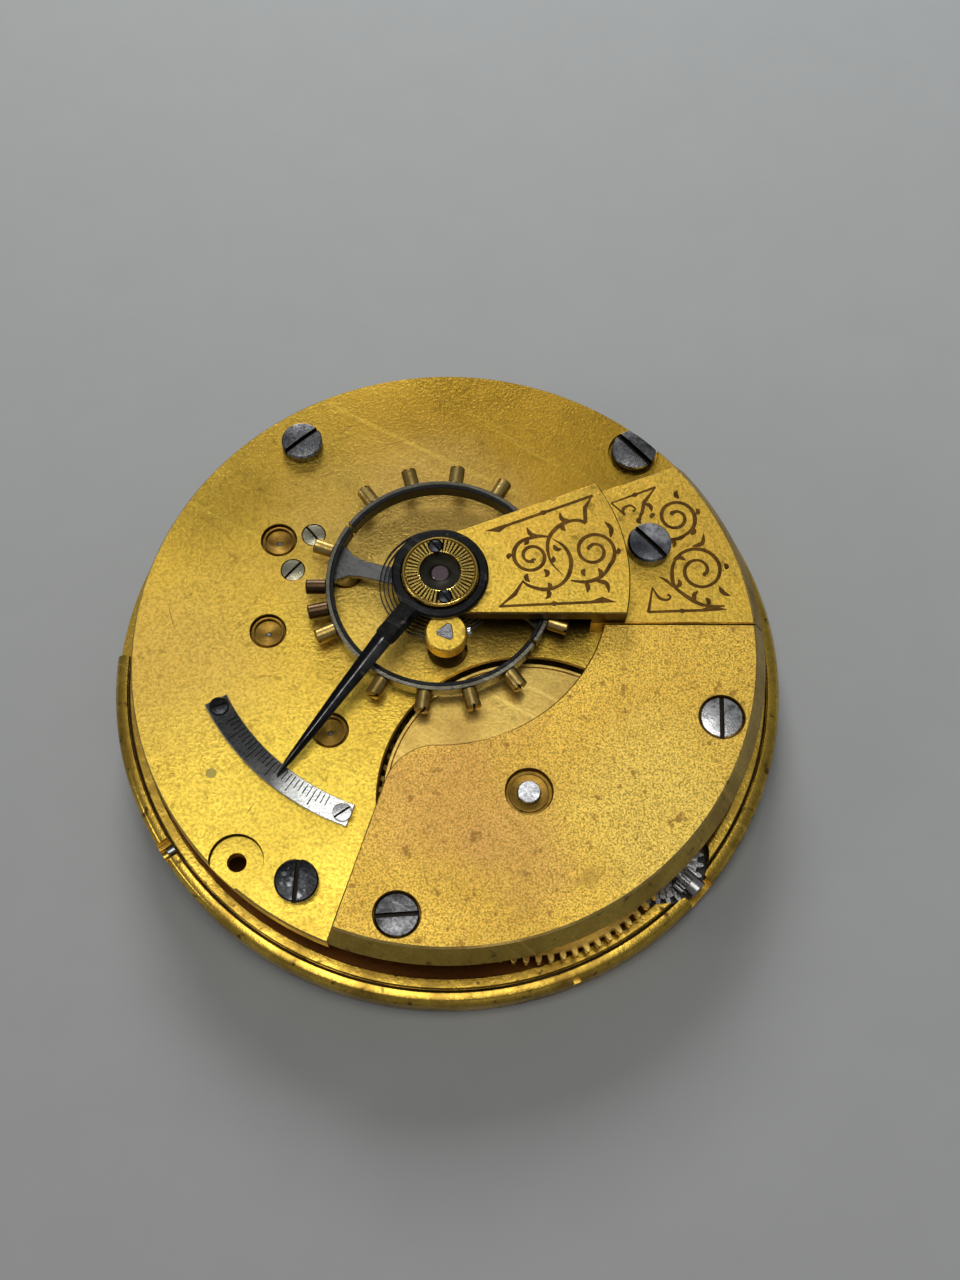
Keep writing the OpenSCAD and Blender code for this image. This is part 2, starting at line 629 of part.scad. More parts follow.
module pillar_plate() color("goldenrod") {
    ridge_r = rim_r - band_w - groove_w;
    difference() {
        union() {
            rotate_extrude($fn = 128) polygon([[0, 0], [rim_r, 0], [rim_r, rim_h - rim_bevel],
                [rim_r - rim_bevel, rim_h], [rim_r - band_w, rim_h],
                [rim_r - band_w, rim_h - 0.35], [ridge_r, rim_h - 0.35],
                [ridge_r, rim_h + ridge_rise], [ridge_r - ridge_w, rim_h + ridge_rise],
                [ridge_r - ridge_w, floor_t], [0, floor_t]]);
            radial_box(stem_a, crown_at - 0.75, window_r - 0.1, block_w, floor_t - tiny, block_top);
        }
        // centre, train and barrel holes with their sinks on the dial side
        drum(centre_pivot_r + run_c, -1, floor_t + 1);
        for (p = [third_p, fourth_p, escape_p, pallet_p]) at(p) {
            bore = (p == fourth_p ? fourth_journal_r : pivot_r) + run_c;
            drum(bore, -1, floor_t + 1);
            translate([0, 0, -tiny]) cylinder(r1 = 0.9, r2 = bore, h = 0.8);
        }
        at(barrel_p) drum(journal_r + run_c, -1, floor_t + 1);
        // recesses for the motion work, ratchet, crown wheel, click and setting lever
        drum(hour_pitch + addendum * hour_m + recess_gap, -1, recess_d);
        at(minute_p) drum(minute_pitch + addendum * minute_m + recess_gap, -1, recess_d);
        at(minute_p) drum(shoulder_r - 0.2, -1, floor_t - 0.15);
        at(barrel_p) drum(ratchet_tip + recess_gap, -1, recess_d);
        at(crown_p) drum(crown_tip + recess_gap, -1, crown_recess);
        at(crown_p) drum(shoulder_r - 0.2, -1, block_top - 0.2);
        at(click_p) drum(click_r + click_len + 0.5, -1, recess_d);
        at(click_p) drum(shoulder_r - 0.2, -1, floor_t - 0.15);
        at(spring_foot_p) drum(1.4, -1, recess_d);
        at(spring_foot_p) drum(shoulder_r - 0.2, -1, floor_t - 0.15);
        at(set_p) drum(shoulder_head_r + 0.35, -1, recess_d);
        at(set_p) drum(shoulder_r - 0.2, -1, floor_t - 0.15);
        at(set_p) for (s = [0:4:set_swing]) rotate(set_dir + s)
            translate([0, -set_w / 2 - 0.2, -1]) cube([set_reach + 4, set_w + 0.4, recess_d + 1]);
        // window over the crown wheel, and the stem's notch in the rim
        intersection() {
            at(crown_p) drum(crown_tip + 0.1, recess_d, rim_h + ridge_rise + 1);
            radial_box(stem_a, window_r, rim_r, 12, 0, rim_h + ridge_rise + 1);
        }
        radial_box(stem_a, window_r - tiny, rim_r + 1, notch_w, z_stem - notch_w / 2, 9);
        rotate(stem_a) translate([stem_r0 - 0.2, 0, z_stem]) rotate([0, 90, 0])
            cylinder(r = 0.45 + run_c, h = 9);
        // rivet holes of the pillars
        for (p = concat(top_pillars, bridge_pillars)) at(p) drum(rivet_r, 0.3, floor_t + 1);
        // dial feet, their screws and the notch over the visible one
        for (a = dial_feet) {
            at(polar(dial_foot_at, a)) drum(dial_foot_r, -1, floor_t - 0.2);
            rotate(a) translate([dial_foot_at, 0, 0.95]) rotate([0, 90, 0])
                cylinder(r = dial_screw_r + fit, h = 9);
        }
        radial_box(foot_notch_a, rim_r - 0.9, rim_r + 1, 1.3, 0.95, 9);
        radial_box(nick_a, rim_r - 0.3, rim_r + 1, nick_w, 1.3, 9);
        // stretch without the outer band
        ring_sector(rim_r - band_w - 0.05, rim_r + 1, cut_a0, cut_a1, 0.7, 9);
    }
}

module pillar(p, r, top, hole) {
    difference() {
        at(p) {
            drum(rivet_r, 0.35, floor_t + tiny);
            drum(r, floor_t, floor_t + 0.35);
            drum(r * 0.86, floor_t + 0.35 - tiny, top - 0.35 + tiny);
            drum(r, top - 0.35, top);
        }
        at(p) drum(hole, top - thread_d - 0.15, top + 1);
    }
}

module plate_pillars() color("darkgoldenrod") {
    for (p = top_pillars) pillar(p, pillar_r, z_under, shank_r + fit);
    for (p = bridge_pillars) pillar(p, bridge_pillar_r, z_face, shank_r + fit);
}

// The line of the joint between top plate and bridge, as a point and two directions
split_n = polar(1, split_a + 90);
split_u = polar(1, split_a);
split_o = -split_n * split_d;

module bite(grow) {
    q0 = split_o - split_n * grow;
    polygon([q0 + split_u * 8, q0 + split_u * 30, [30, -30], [30, -2 + grow], [5, -2 + grow]]);
}

module top_plate() color("gold") {
    difference() {
        union() {
            drum(top_r, z_under, z_face - 0.12);
            translate([0, 0, z_face - 0.12]) cylinder(r1 = top_r, r2 = top_r - 0.1, h = 0.12);
        }
        translate([0, 0, z_under - 1]) linear_extrude(top_t + 2) bite(0);
        at(barrel_p) drum(drum_r + drum_gap, z_under - 1, z_face + 1);
        for (p = top_pillars) at(p) drum(shank_r + 0.1, z_under - 1, z_face + 1);
        at(top_pillars[2]) drum(head_r + 0.08, z_face - head_h - 0.02, z_face + 1);
        at(centre_p) {
            drum(centre_pivot_r + run_c, z_under - 1, z_face);
            drum(1.3, z_face - 0.85, z_face + 1);
        }
        for (p = [third_p, fourth_p, escape_p, pallet_p]) at(p) {
            drum(pivot_r + run_c, z_under - 1, z_face);
            translate([0, 0, z_sink]) cylinder(r1 = 0.4, r2 = sink_r - 0.22, h = sink_d - 0.22);
            drum(sink_r, z_face - 0.22 - tiny, z_face + 1);
        }
        at(balance_p) drum(1.05, z_under - 1, z_face + 1);
        for (p = banking_holes()) at(p) {
            drum(0.45 + fit, z_under - 1, z_face + 1);
            drum(0.8 + fit, z_face - 0.45, z_face + 1);
        }
        at(potance_p) {
            drum(0.4 + fit, z_under - 1, z_face + 1);
            drum(0.85, z_face - 0.55, z_face + 1);
        }
        for (p = [case_p, case_hole_p]) at(p) {
            drum(case_shank_r + fit, z_under - 1, z_face + 1);
            drum(case_seat_r, z_face - case_seat_d, z_face + 1);
        }
        at(cock_screw_p) drum(0.55 + fit, z_under - 1, z_face + 1);
        for (p = steady_spots()) at(p) drum(steady_r, z_face - 0.9, z_face + 1);
        for (p = index_spots()) at(p) drum(0.3 + fit, z_face - 0.9, z_face + 1);
        at(plug_p) drum(plug_r, z_under - 1, z_face + 1);
    }
}

function banking_holes() = [for (a = [banking_a0, banking_a1])
    pallet_p + polar(banking_at, a)];
function index_spots() = [for (s = [-1, 1])
    balance_p + polar(index_r0 + index_w / 2, index_a + s * (index_half - 2))];
function steady_spots() = [balance_p + polar(foot_in + steady_in, -4.3),
    balance_p + polar(steady_out, 25), polar(bridge_steady_out, -1.2),
    polar(bridge_steady_in, -3)];

module pillar_screws() color("slategray") {
    length = top_t + thread_d;
    slots = [40, 86, 10];
    for (k = [0:1]) screw(top_pillars[k], z_face, head_r, head_h, shank_r, length, slot_w, slot_d,
        slots[k]);
    screw(top_pillars[2], z_face - head_h - 0.02, head_r, head_h, shank_r, length - head_h,
        slot_w, slot_d, slots[2]);
}

// The frustum that gives the bridge and the cock's foot their sloping edge
module sloped_disc(z0, z1) {
    translate([0, 0, z0]) cylinder(r1 = bridge_low_r, r2 = bridge_up_r, h = z1 - z0, $fn = 128);
}

cock_low_y = balance_p[1] - hub_r;
bridge_top_y = cock_low_y - joint_gap;

// The bridge's outline: joint, rounded corner, arc round the balance, edge along the cock
module bridge_outline() {
    q0 = split_o + split_n * joint_gap;
    base = q0 + split_n * corner_r - balance_p;
    want = sweep_r + corner_r;
    along = base * split_u;
    t = -along - sqrt(max(0, along * along - base * base + want * want));
    reach = -along + sqrt(max(0, along * along - base * base + want * want));
    k = q0 + split_n * corner_r + split_u * reach;
    meet_a = heading(k, balance_p);
    flat_a = heading(k, k - split_n);
    turn = meet_a - flat_a;
    sweep_a0 = heading(balance_p, k);
    sweep_a1 = -asin((balance_p[1] - bridge_top_y) / sweep_r);
    polygon(concat([k - split_n * corner_r + split_u * 20],
        [for (i = [0:8]) k + polar(corner_r, flat_a + turn * i / 8)],
        [for (i = [1:16]) balance_p + polar(sweep_r, sweep_a0 + (sweep_a1 - sweep_a0) * i / 16)],
        [[40, bridge_top_y], [40, -40]]));
}

module barrel_bridge() color("gold") {
    difference() {
        intersection() {
            sloped_disc(z_face, z_bridge);
            translate([0, 0, z_face - 1]) linear_extrude(bridge_t + 2) bridge_outline();
        }
        for (p = bridge_pillars) at(p) {
            drum(shank_r + 0.1, z_face - 1, z_bridge + 1);
            drum(head_r + 0.07, z_bridge - head_h, z_bridge + 1);
        }
        at(barrel_p) {
            drum(arbor_end_r + run_c, z_face - 1, z_bridge + 1);
            drum(arbor_sink_r, z_bridge - 0.45, z_bridge + 1);
        }
        for (k = [2, 3]) at(steady_spots()[k]) drum(steady_r, z_face - 1, z_face + 0.9);
    }
}

module bridge_screws() color("lightsteelblue") {
    slots = [4, 88];
    for (k = [0:1]) screw(bridge_pillars[k], z_bridge - head_h, head_r, head_h, shank_r,
        bridge_t - head_h + thread_d, slot_w, slot_d, slots[k]);
}

// The cock's outline: a wedge between two lines that touch its round end
module cock_outline() {
    low = balance_p + [0, -hub_r];
    up = balance_p + polar(hub_r, arm_a + 90);
    polygon([low, low + [60, 0], up + polar(60, arm_a), up, balance_p]);
    translate(balance_p) circle(r = hub_r);
}

module balance_cock() color("gold") {
    difference() {
        union() {
            intersection() {
                sloped_disc(z_face, z_bridge);
                difference() {
                    translate([0, 0, z_face - 1]) linear_extrude(bridge_t + 2) cock_outline();
                    at(balance_p) drum(foot_in, z_face - 2, z_bridge + 2);
                }
            }
            difference() {
                intersection() {
                    at(balance_p) drum(arm_out, z_face, z_arm);
                    translate([0, 0, z_face - 1]) linear_extrude(z_arm - z_face + 2)
                        cock_outline();
                }
                at(balance_p) drum(foot_in, z_face - 1, z_arm_low);
            }
            at(stud_p) drum(boss_r, z_arm - boss_h, z_arm);
            at(balance_p) rotate(stud_a) translate([0, -boss_r * 0.7, z_arm_low])
                cube([stud_at, boss_r * 1.4, arm_t - 0.25]);
        }
        at(balance_p) {
            drum(gem_r + 0.2, z_arm_low - 1, z_arm + 1);
            for (a = [100, 280]) rotate(a) translate([cap_screw_at, 0, 0])
                drum(0.22 + fit, z_arm - 0.8, z_arm + 1);
        }
        at(stud_p) linear_extrude(20) stud_outline(fit);
        at(stud_p, z_arm - 0.6) rotate(stud_a + 95) rotate([0, 90, 0])
            cylinder(r = 0.2, h = 3, $fn = 24);
        at(cock_screw_p) drum(shank_r + 0.1, z_face - 1, z_bridge + 1);
        for (k = [0, 1]) at(steady_spots()[k]) drum(steady_r, z_face - 1, z_face + 0.9);
    }
}

module cock_screw() color("slategray") {
    screw(cock_screw_p, z_bridge, head_r + 0.05, cock_head_h, 0.55, bridge_t + top_t - 0.1,
        slot_w + 0.04, slot_d, -47);
}

module steady_pins() color("darkgoldenrod") {
    for (p = steady_spots()) at(p) drum(steady_r, z_face - 0.85, z_face + 0.85);
}

module case_screw() color("slategray") {
    difference() {
        screw(case_p, z_face - case_seat_d, case_head_r, head_h + 0.3, case_shank_r, 2.4,
            slot_w + 0.1, slot_d + 0.1, -46);
        radial_box(case_a, case_at + 0.95, case_at + 5, 9, z_face - 3, z_face + 3);
    }
}

module plate_plug() color("darkgoldenrod") {
    at(plug_p) drum(plug_r, z_face - 1.1, z_face + tiny);
}

// Potance: the bridge under the top plate that carries the lower balance pivot
module potance() color("goldenrod") {
    low = z_potance - potance_t;
    at(balance_p) rotate(potance_a) difference() {
        union() {
            translate([potance_at, 0, 0]) drum(potance_r, low, z_under);
            rotate(180) drum(potance_r, low, z_potance);
            translate([gem_r + 0.2, -potance_w / 2, low]) cube([potance_at - gem_r - 0.7, potance_w,
                potance_t]);
        }
        drum(gem_r, low - 1, z_potance + 1);
        translate([potance_at, 0, 0]) drum(0.4 + fit, z_under - 1.2, z_under + 1);
    }
}

module potance_screw() color("slategray") {
    screw(potance_p, z_face - 0.53, 0.83, 0.48, 0.4, 1.8, 0.22, 0.25, 60);
}

module banking_screws() color("silver") {
    for (k = [0, 1]) {
        p = banking_holes()[k];
        screw(p, z_face - 0.43, 0.8, 0.46, 0.45, z_face - 0.43 - z_under - 0.05, 0.24, 0.25,
            [-50, 48][k]);
        at(p) drum(banking_r, z_lever + 0.02, z_under + 0.1);
    }
}

module index_plate() color("silver") {
    difference() {
        at(balance_p) ring_sector(index_r0, index_r0 + index_w, index_a - index_half,
            index_a + index_half, z_face, z_face + index_t);
        for (p = index_spots()) at(p) drum(0.3 + fit, z_face - 1, z_face + index_t + 1);
    }
}

module index_screws() color("gray") {
    for (k = [0, 1]) screw(index_spots()[k], z_face + index_t, 0.62, 0.2, 0.3, 1.2, 0.2, 0.12,
        [20, 35][k]);
}

// Cap over the upper balance pivot, with the dark setting of its endstone
module balance_cap() color("gold") {
    at(balance_p) difference() {
        union() {
            drum(cap_r, z_ring, z_cap_top - 0.12);
            translate([0, 0, z_cap_top - 0.12]) cylinder(r1 = cap_r, r2 = cap_r - 0.15, h = 0.12);
        }
        drum(setting_r, z_ring - 1, z_cap_top + 1);
        for (a = [100, 280]) rotate(a) translate([cap_screw_at, 0, 0]) {
            drum(cap_screw_r + 0.04, z_cap_top - 0.35, z_cap_top + 1);
            drum(0.25, z_ring - 1, z_cap_top + 1);
        }
    }
}

module cap_screws() color("midnightblue") {
    for (a = [100, 280]) screw(balance_p + polar(cap_screw_at, a), z_cap_top - 0.35, cap_screw_r,
        0.35, 0.22, balance_cap_t, 0.16, 0.16, a + 30);
}

module endstone_setting() color("dimgray") {
    at(balance_p) difference() {
        drum(setting_r, z_ring, z_cap_top - 0.36);
        drum(gem_r, z_ring - 1, z_cap_top + 1);
    }
}

module hole_jewel(z, t) {
    difference() {
        drum(gem_r, z, z + t);
        drum(staff_pivot_r + 0.02, z - 1, z + t + 1);
    }
}

z_gem = z_ring + 0.1;
module upper_balance_jewels() color("firebrick") at(balance_p) {
    drum(gem_r, z_gem, z_cap_top - 0.4);
    difference() {
        drum(gem_r + 0.2, z_arm - 0.4, z_arm);
        drum(staff_pivot_r + 0.02, z_arm - 1, z_arm + 1);
    }
}

module lower_balance_jewels() color("firebrick") at(balance_p) {
    hole_jewel(z_potance - 0.3, 0.3);
    drum(gem_r, z_potance - potance_t, z_potance - 0.36);
}

// Hairspring, its stud and the regulator
module stud_outline(grow) {
    polygon([for (a = [90, 210, 330], s = [-14, 0, 14]) polar(0.62 + grow, a + s + 18)]);
}

module hairspring_stud() color("silver") {
    difference() {
        at(stud_p, z_hair - hair_h / 2 - 0.05)
            linear_extrude(z_arm + 0.03 - z_hair + hair_h / 2 + 0.05) stud_outline(0);
        at(stud_p, z_hair - hair_h / 2 - 1) linear_extrude(hair_h + 1.05)
            square([4, 0.5], center = true);
    }
}

module stud_screw() color("silver") {
    at(stud_p, z_arm - 0.6) rotate(stud_a + 95) rotate([0, 90, 0]) {
        translate([0, 0, 0.75]) cylinder(r = 0.19, h = boss_r - 0.75 + 0.05, $fn = 24);
        translate([0, 0, boss_r + 0.02]) rotate([0, 0, 20]) slotted_head(0.32, 0.32, 0.12, 0.14, 0);
    }
}

// Hairspring route: an even spiral from the collet, then an arc of one radius to the stud
hair_rings = 8;
hair_start_r = collet_r + 0.15;
hair_arc = 75;
hair_end = stud_a;
hair_pitch = (stud_at - hair_start_r) / hair_turns;
hair_route = concat([polar(collet_r + hair_t / 2 + 0.01, hair_end - hair_arc - 30)],
    [for (i = [0:hair_turns * hair_rings]) let (turn = i / hair_rings)
        polar(hair_start_r + hair_pitch * turn, hair_end - hair_arc - 360 * (hair_turns - turn))],
    [for (i = [1:5]) polar(stud_at, hair_end - hair_arc + (hair_arc - 1) * i / 5)]);
function unit(v) = v / norm(v);
function hair_dir(i) = unit(hair_route[min(i + 1, len(hair_route) - 1)] - hair_route[max(i - 1, 0)]);
hair_section = [[-1, 0], [-0.6, 0.5], [0.6, 0.5], [1, 0], [0.6, -0.5], [-0.6, -0.5]];
hair_points = [for (i = [0:len(hair_route) - 1], s = hair_section)
    let (d = hair_dir(i), side = [d[1], -d[0]], p = hair_route[i] + side * s[0] * hair_t / 2)
    [p[0], p[1], z_hair + s[1] * hair_h]];
hair_count = len(hair_route);
hair_faces = concat(
    [for (k = [1:4]) [0, k, k + 1]],
    [for (k = [1:4]) let (b = 6 * (hair_count - 1)) [b, b + k + 1, b + k]],
    [for (i = [0:hair_count - 2], k = [0:5]) [6 * i + k, 6 * i + 6 + k, 6 * i + 6 + (k + 1) % 6]],
    [for (i = [0:hair_count - 2], k = [0:5]) [6 * i + k, 6 * i + 6 + (k + 1) % 6,
        6 * i + (k + 1) % 6]]);
function to_segment(p, a, b) = let (t = max(0, min(1, (p - a) * (b - a) / ((b - a) * (b - a)))))
    norm(p - a - (b - a) * t);
hair_gap = min([for (i = [0:hair_count - 1], j = [i + hair_rings - 2:hair_count - 2])
    if (j > i + 4) to_segment(hair_route[i], hair_route[j], hair_route[j + 1])]) - hair_t;
echo("hairspring: least gap to itself in mm", hair_gap);

module hairspring() color("midnightblue") {
    at(balance_p) polyhedron(points = hair_points, faces = hair_faces);
}

// Regulator: ring, curb pins and the long pointer that steps down to the index
module pointer_piece(r0, w0, z0, r1, w1, z1, t) {
    hull() {
        translate([r0, 0, z0]) cylinder(d1 = w0, d2 = w0 * 0.7, h = t, $fn = 16);
        translate([r1, 0, z1]) cylinder(d1 = w1, d2 = w1 * 0.7, h = t, $fn = 16);
    }
}

module regulator() color("black") {
    low = z_face + index_t + 0.12;
    knee_z = z_rim + balance_h + 0.28;
    at(balance_p) {
        difference() {
            drum(regulator_r, z_ring, z_ring + regulator_t);
            drum(cap_r + run_c, z_ring - 1, z_ring + regulator_t + 1);
        }
        rotate(pointer_a) {
            difference() {
                pointer_piece(regulator_r - 0.3, pointer_w, z_ring, 6, pointer_w * 0.92, z_ring, 0.4);
                drum(cap_r + run_c, z_ring - 1, z_ring + regulator_t + 1);
            }
            pointer_piece(6, pointer_w * 0.92, z_ring, 9.8, 1, knee_z, 0.4);
            pointer_piece(9.8, 1, knee_z, pointer_l - 0.15, 0.3, low, 0.4);
            for (s = [-1, 1]) translate([stud_at + s * (hair_t / 2 + curb_gap + curb_r), 0, 0])
                cylinder_between(curb_r, z_hair - hair_h / 2 - 0.02, z_ring + 0.1);
        }
    }
}

module cylinder_between(r, z0, z1) {
    translate([0, 0, z0]) cylinder(r = r, h = z1 - z0, $fn = 24);
}

// Small fixed pieces of the dial side
module dial_foot_screws() color("slategray") {
    for (a = dial_feet) rotate(a) translate([dial_foot_at + dial_foot_r + 0.05, 0, 0.95])
        rotate([0, 90, 0]) {
            length = rim_r - 0.4 - dial_foot_at - dial_foot_r;
            difference() {
                cylinder(r = dial_screw_r, h = length, $fn = 32);
                translate([-1, -0.1, length - 0.3]) cube([2, 0.2, 1]);
            }
        }
}

module minute_wheel_post() color("silver") {
    at(minute_p) drum(shoulder_r - 0.2, 0.12, floor_t - 0.15);
}

module shoulder_screw(p, top, slot_a) {
    at(p, gap_dial + winding_t + 0.06) mirror([0, 0, 1]) {
        cylinder(r = shoulder_r, h = winding_t + 0.08);
        translate([0, 0, winding_t + 0.08]) slotted_head(shoulder_head_r, 0.25, 0.2, 0.12, slot_a);
    }
    at(p) drum(shoulder_r - 0.2, gap_dial + winding_t, top);
}

module winding_screws() color("silver") {
    shoulder_screw(crown_p, block_top - 0.3, 12);
    shoulder_screw(click_p, floor_t - 0.2, 70);
    shoulder_screw(spring_foot_p, floor_t - 0.2, 100);
    shoulder_screw(set_p, floor_t - 0.2, 40);
}

// Click spring: an eye under its screw and a bent blade that bears beside the click
module click_spring() color("silver") {
    difference() {
        union() {
            at(spring_foot_p) drum(1, gap_dial + 0.1, gap_dial + winding_t);
            at(spring_foot_p)
                rotate(heading(spring_foot_p, click_p) + asin((click_r + 0.05) / click_spring_at))
                translate([0.6, 0, gap_dial + 0.1])
                cube([3, click_spring_t, winding_t - 0.1]);
        }
        at(spring_foot_p) drum(shoulder_r, -1, floor_t);
    }
}

// Balance
balance_screw_angles = [for (h = [0, 180], a = [-5, 15, 27, 39, 75, 97, 119, 141])
    balance_arm_a + a + h];

module balance_staff() color("silver") at(balance_p) {
    pivot_low = z_potance - 0.32;
    pivot_up = z_gem - 0.03;
    drum(staff_pivot_r, pivot_low, z_potance + 0.1);
    translate([0, 0, z_potance + 0.1 - tiny]) cylinder(r1 = staff_pivot_r, r2 = staff_r, h = 0.1);
    drum(staff_r, z_potance + 0.2 - 2 * tiny, z_arm_low + 0.2);
    drum(0.8, z_rim - 0.25, z_rim);
    translate([0, 0, z_arm_low + 0.2 - tiny]) cylinder(r1 = staff_r, r2 = staff_pivot_r, h = 0.4);
    drum(staff_pivot_r, z_arm_low + 0.6 - 2 * tiny, pivot_up);
}

module rim_cuts() {
    for (h = [0, 180]) rotate(balance_arm_a + balance_cut_a + h)
        translate([0, -0.1, z_rim - 1]) cube([balance_r + 1, 0.2, balance_h + 2]);
}

module balance_wheel() color("dimgray") at(balance_p) {
    r1 = balance_r - rim_brass;
    r0 = r1 - rim_steel;
    difference() {
        union() {
            difference() {
                drum(r1, z_rim, z_rim + balance_h);
                drum(r0, z_rim - 1, z_rim + balance_h + 1);
                rim_cuts();
            }
            drum(1.3, z_rim, z_balance_arm);
            rotate(balance_arm_a) translate([0, 0, z_rim]) linear_extrude(balance_arm_t)
                balance_arm_outline(r0 + 0.1);
        }
        drum(staff_r, z_rim - 1, z_rim + balance_h + 1);
    }
}

// The arm is narrow by the hub and spreads where it meets the rim
module balance_arm_outline(r) {
    w = balance_arm_w / 2;
    polygon([for (s = [1, -1]) each [[s * r * 0.98, -s * w * 2.6], [s * r, 0], [s * r * 0.98, s * w * 2.6],
        [s * r * 0.84, s * w * 1.3], [s * r * 0.5, s * w], [s * r * 0.12, s * w]]]);
}

module balance_rim() color("goldenrod") at(balance_p) {
    difference() {
        drum(balance_r, z_rim, z_rim + balance_h);
        drum(balance_r - rim_brass, z_rim - 1, z_rim + balance_h + 1);
        rim_cuts();
        for (a = balance_screw_angles) rotate(a)
            translate([balance_r - 1, 0, z_rim + balance_h / 2]) rotate([0, 90, 0])
                cylinder(r = 0.22, h = 3, $fn = 24);
    }
}

module balance_screws() color("gold") at(balance_p) {
    for (a = balance_screw_angles) rotate(a)
        translate([balance_r, 0, z_rim + balance_h / 2]) rotate([0, 90, 0]) {
            translate([0, 0, -0.25]) cylinder(r = 0.2, h = 0.3, $fn = 24);
            slotted_head(balance_screw_r, balance_screw_l, 0.16, 0.2, a);
        }
}

module hairspring_collet() color("gold") at(balance_p) {
    difference() {
        drum(collet_r, z_balance_arm, z_arm_low - 0.08);
        drum(staff_r, z_balance_arm - 1, z_arm_low + 1);
        rotate(200) translate([0, -0.06, z_balance_arm - 1]) cube([2, 0.12, 3]);
    }
}

jewel_p = balance_p + polar(jewel_at, fork_a + 180);
module roller_table() color("silver") {
    difference() {
        at(balance_p) drum(roller_r, z_roller, z_roller + roller_t);
        at(balance_p) drum(staff_r, z_roller - 1, z_roller + 1);
        at(jewel_p) drum(jewel_r, z_roller - 1, z_roller + 1);
    }
}

module roller_jewel() color("firebrick") {
    at(jewel_p) drum(jewel_r, z_roller + 0.02, z_lever - jewel_gap);
}

// Lever, pallets and escape wheel
entry_a = pallet_a + 30;
exit_a = pallet_a - 30;
stone_r = escape_r + stone_gap;

module stone(a) {
    at(escape_p) rotate(a) translate([stone_r, -stone_w / 2, z_escape])
        cube([stone_l, stone_w, wheel_t]);
}

module pallet_lever() color("silver") {
    gap = banking_r / banking_at * 57.3;
    tail_a0 = banking_a0 + gap + lever_swing + 0.2;
    tail_a1 = banking_a1 - gap - lever_swing - 0.2;
    fork_end = fork_l - 0.72;
    difference() {
        union() {
            at(pallet_p) {
                drum(0.55, z_escape, z_lever + lever_t);
                translate([0, 0, z_lever]) linear_extrude(lever_t) {
                    polygon(concat([[0, 0]],
                        [for (i = [0:4]) polar(banking_at + 0.45,
                            tail_a0 + (tail_a1 - tail_a0) * i / 4)]));
                    rotate(fork_a) difference() {
                        polygon([[0, 0.5], [2.4, 0.3], [fork_end - 1.1, 0.3],
                            [fork_end - 0.75, 0.75], [fork_end, 0.7], [fork_end, -0.7],
                            [fork_end - 0.75, -0.75], [fork_end - 1.1, -0.3], [2.4, -0.3],
                            [0, -0.5]]);
                        translate([fork_end - 0.55, -0.28]) square([2, 0.56]);
                    }
                }
                rotate(fork_a) translate([fork_l - roller_r - 0.28, 0, 0])
                    cylinder_between(0.08, z_roller + 0.1, z_lever + 0.1);
            }
            for (a = [entry_a, exit_a]) pallet_arm(a);
        }
        stone(entry_a);
        stone(exit_a);
        at(pallet_p) drum(arbor_r, z_escape - 1, z_lever + 1);
    }
}

// One arm of the pallet frame, from the arbor out to its stone, clear of the escape wheel
module pallet_arm(a) {
    e = escape_p;
    side = a > pallet_a ? 1 : -1;
    far = stone_r + stone_l + 0.25;
    near = stone_r + 0.12;
    half = 5;
    translate([0, 0, z_escape]) linear_extrude(wheel_t) polygon(concat(
        [for (i = [0:6]) e + polar(near, pallet_a + side * (30 + half) * i / 6)],
        [for (i = [6:-1:4]) e + polar(far, pallet_a + side * (30 + half) * i / 6)],
        [for (i = [3:-1:0]) e + polar(near + 0.75, pallet_a + side * (30 + half) * i / 6)]));
}

module pallet_arbor() color("silver") at(pallet_p) {
    train_arbor();
}

module pallet_stones() color("firebrick") {
    stone(entry_a);
    stone(exit_a);
}

// An arbor between the plates, with a pivot at each end
module train_arbor(low = -99) {
    drum(arbor_r, floor_t + endshake, z_under - endshake);
    drum(pivot_r, low > -90 ? low : 0.75, floor_t + 1);
    drum(pivot_r, z_under - 1, z_sink + 0.12);
}

module escape_wheel() color("gold") at(escape_p) {
    step = 360 / escape_n;
    root = escape_r - 0.75;
    difference() {
        translate([0, 0, z_escape]) linear_extrude(wheel_t)
            polygon([for (i = [0:escape_n - 1],
                k = [[root, 0], [escape_r - 0.12, 5.2], [escape_r, 7.4], [escape_r - 0.05, 9],
                    [root, 7]])
                polar(k[0], pallet_a + step * (i + 0.5) - 7 + k[1])]);
        difference() {
            drum(root - 0.35, z_escape - tiny, z_escape + wheel_t + tiny);
            drum(0.85, z_escape - 1, z_escape + 1);
            for (k = [0:3]) rotate(k * 90 + 20) translate([0, -0.22, z_escape - 1])
                cube([root, 0.44, 2]);
        }
        drum(arbor_r, z_escape - 1, z_escape + 1);
    }
}

fe = heading(fourth_p, escape_p);
module escape_pinion() color("silver") at(escape_p) {
    train_arbor();
    leaves(escape_leaves, fourth_n, escape_at, fe + 180 + 180 / escape_leaves, z_fourth - 0.06,
        wheel_t + 0.12, 0);
}

module fourth_wheel() color("gold") at(fourth_p) {
    crossed_wheel(fourth_n, escape_leaves, escape_at, fe, z_fourth, wheel_t, arbor_r, 5, 0.4, 0.4,
        0.9);
}

tf = heading(third_p, fourth_p);
module fourth_pinion() color("silver") at(fourth_p) {
    train_arbor(-seconds_reach);
    drum(fourth_journal_r, 0, floor_t + 1);
    drum(fourth_body_r, floor_t + endshake, z_third);
    leaves(fourth_leaves, third_n, fourth_at, tf + 180 + 180 / fourth_leaves, z_third - 0.05,
        wheel_t + 0.1, 0);
}

module third_wheel() color("gold") at(third_p) {
    crossed_wheel(third_n, fourth_leaves, fourth_at, tf, z_third, wheel_t, arbor_r, 5, 0.45, 0.45,
        1.0);
}

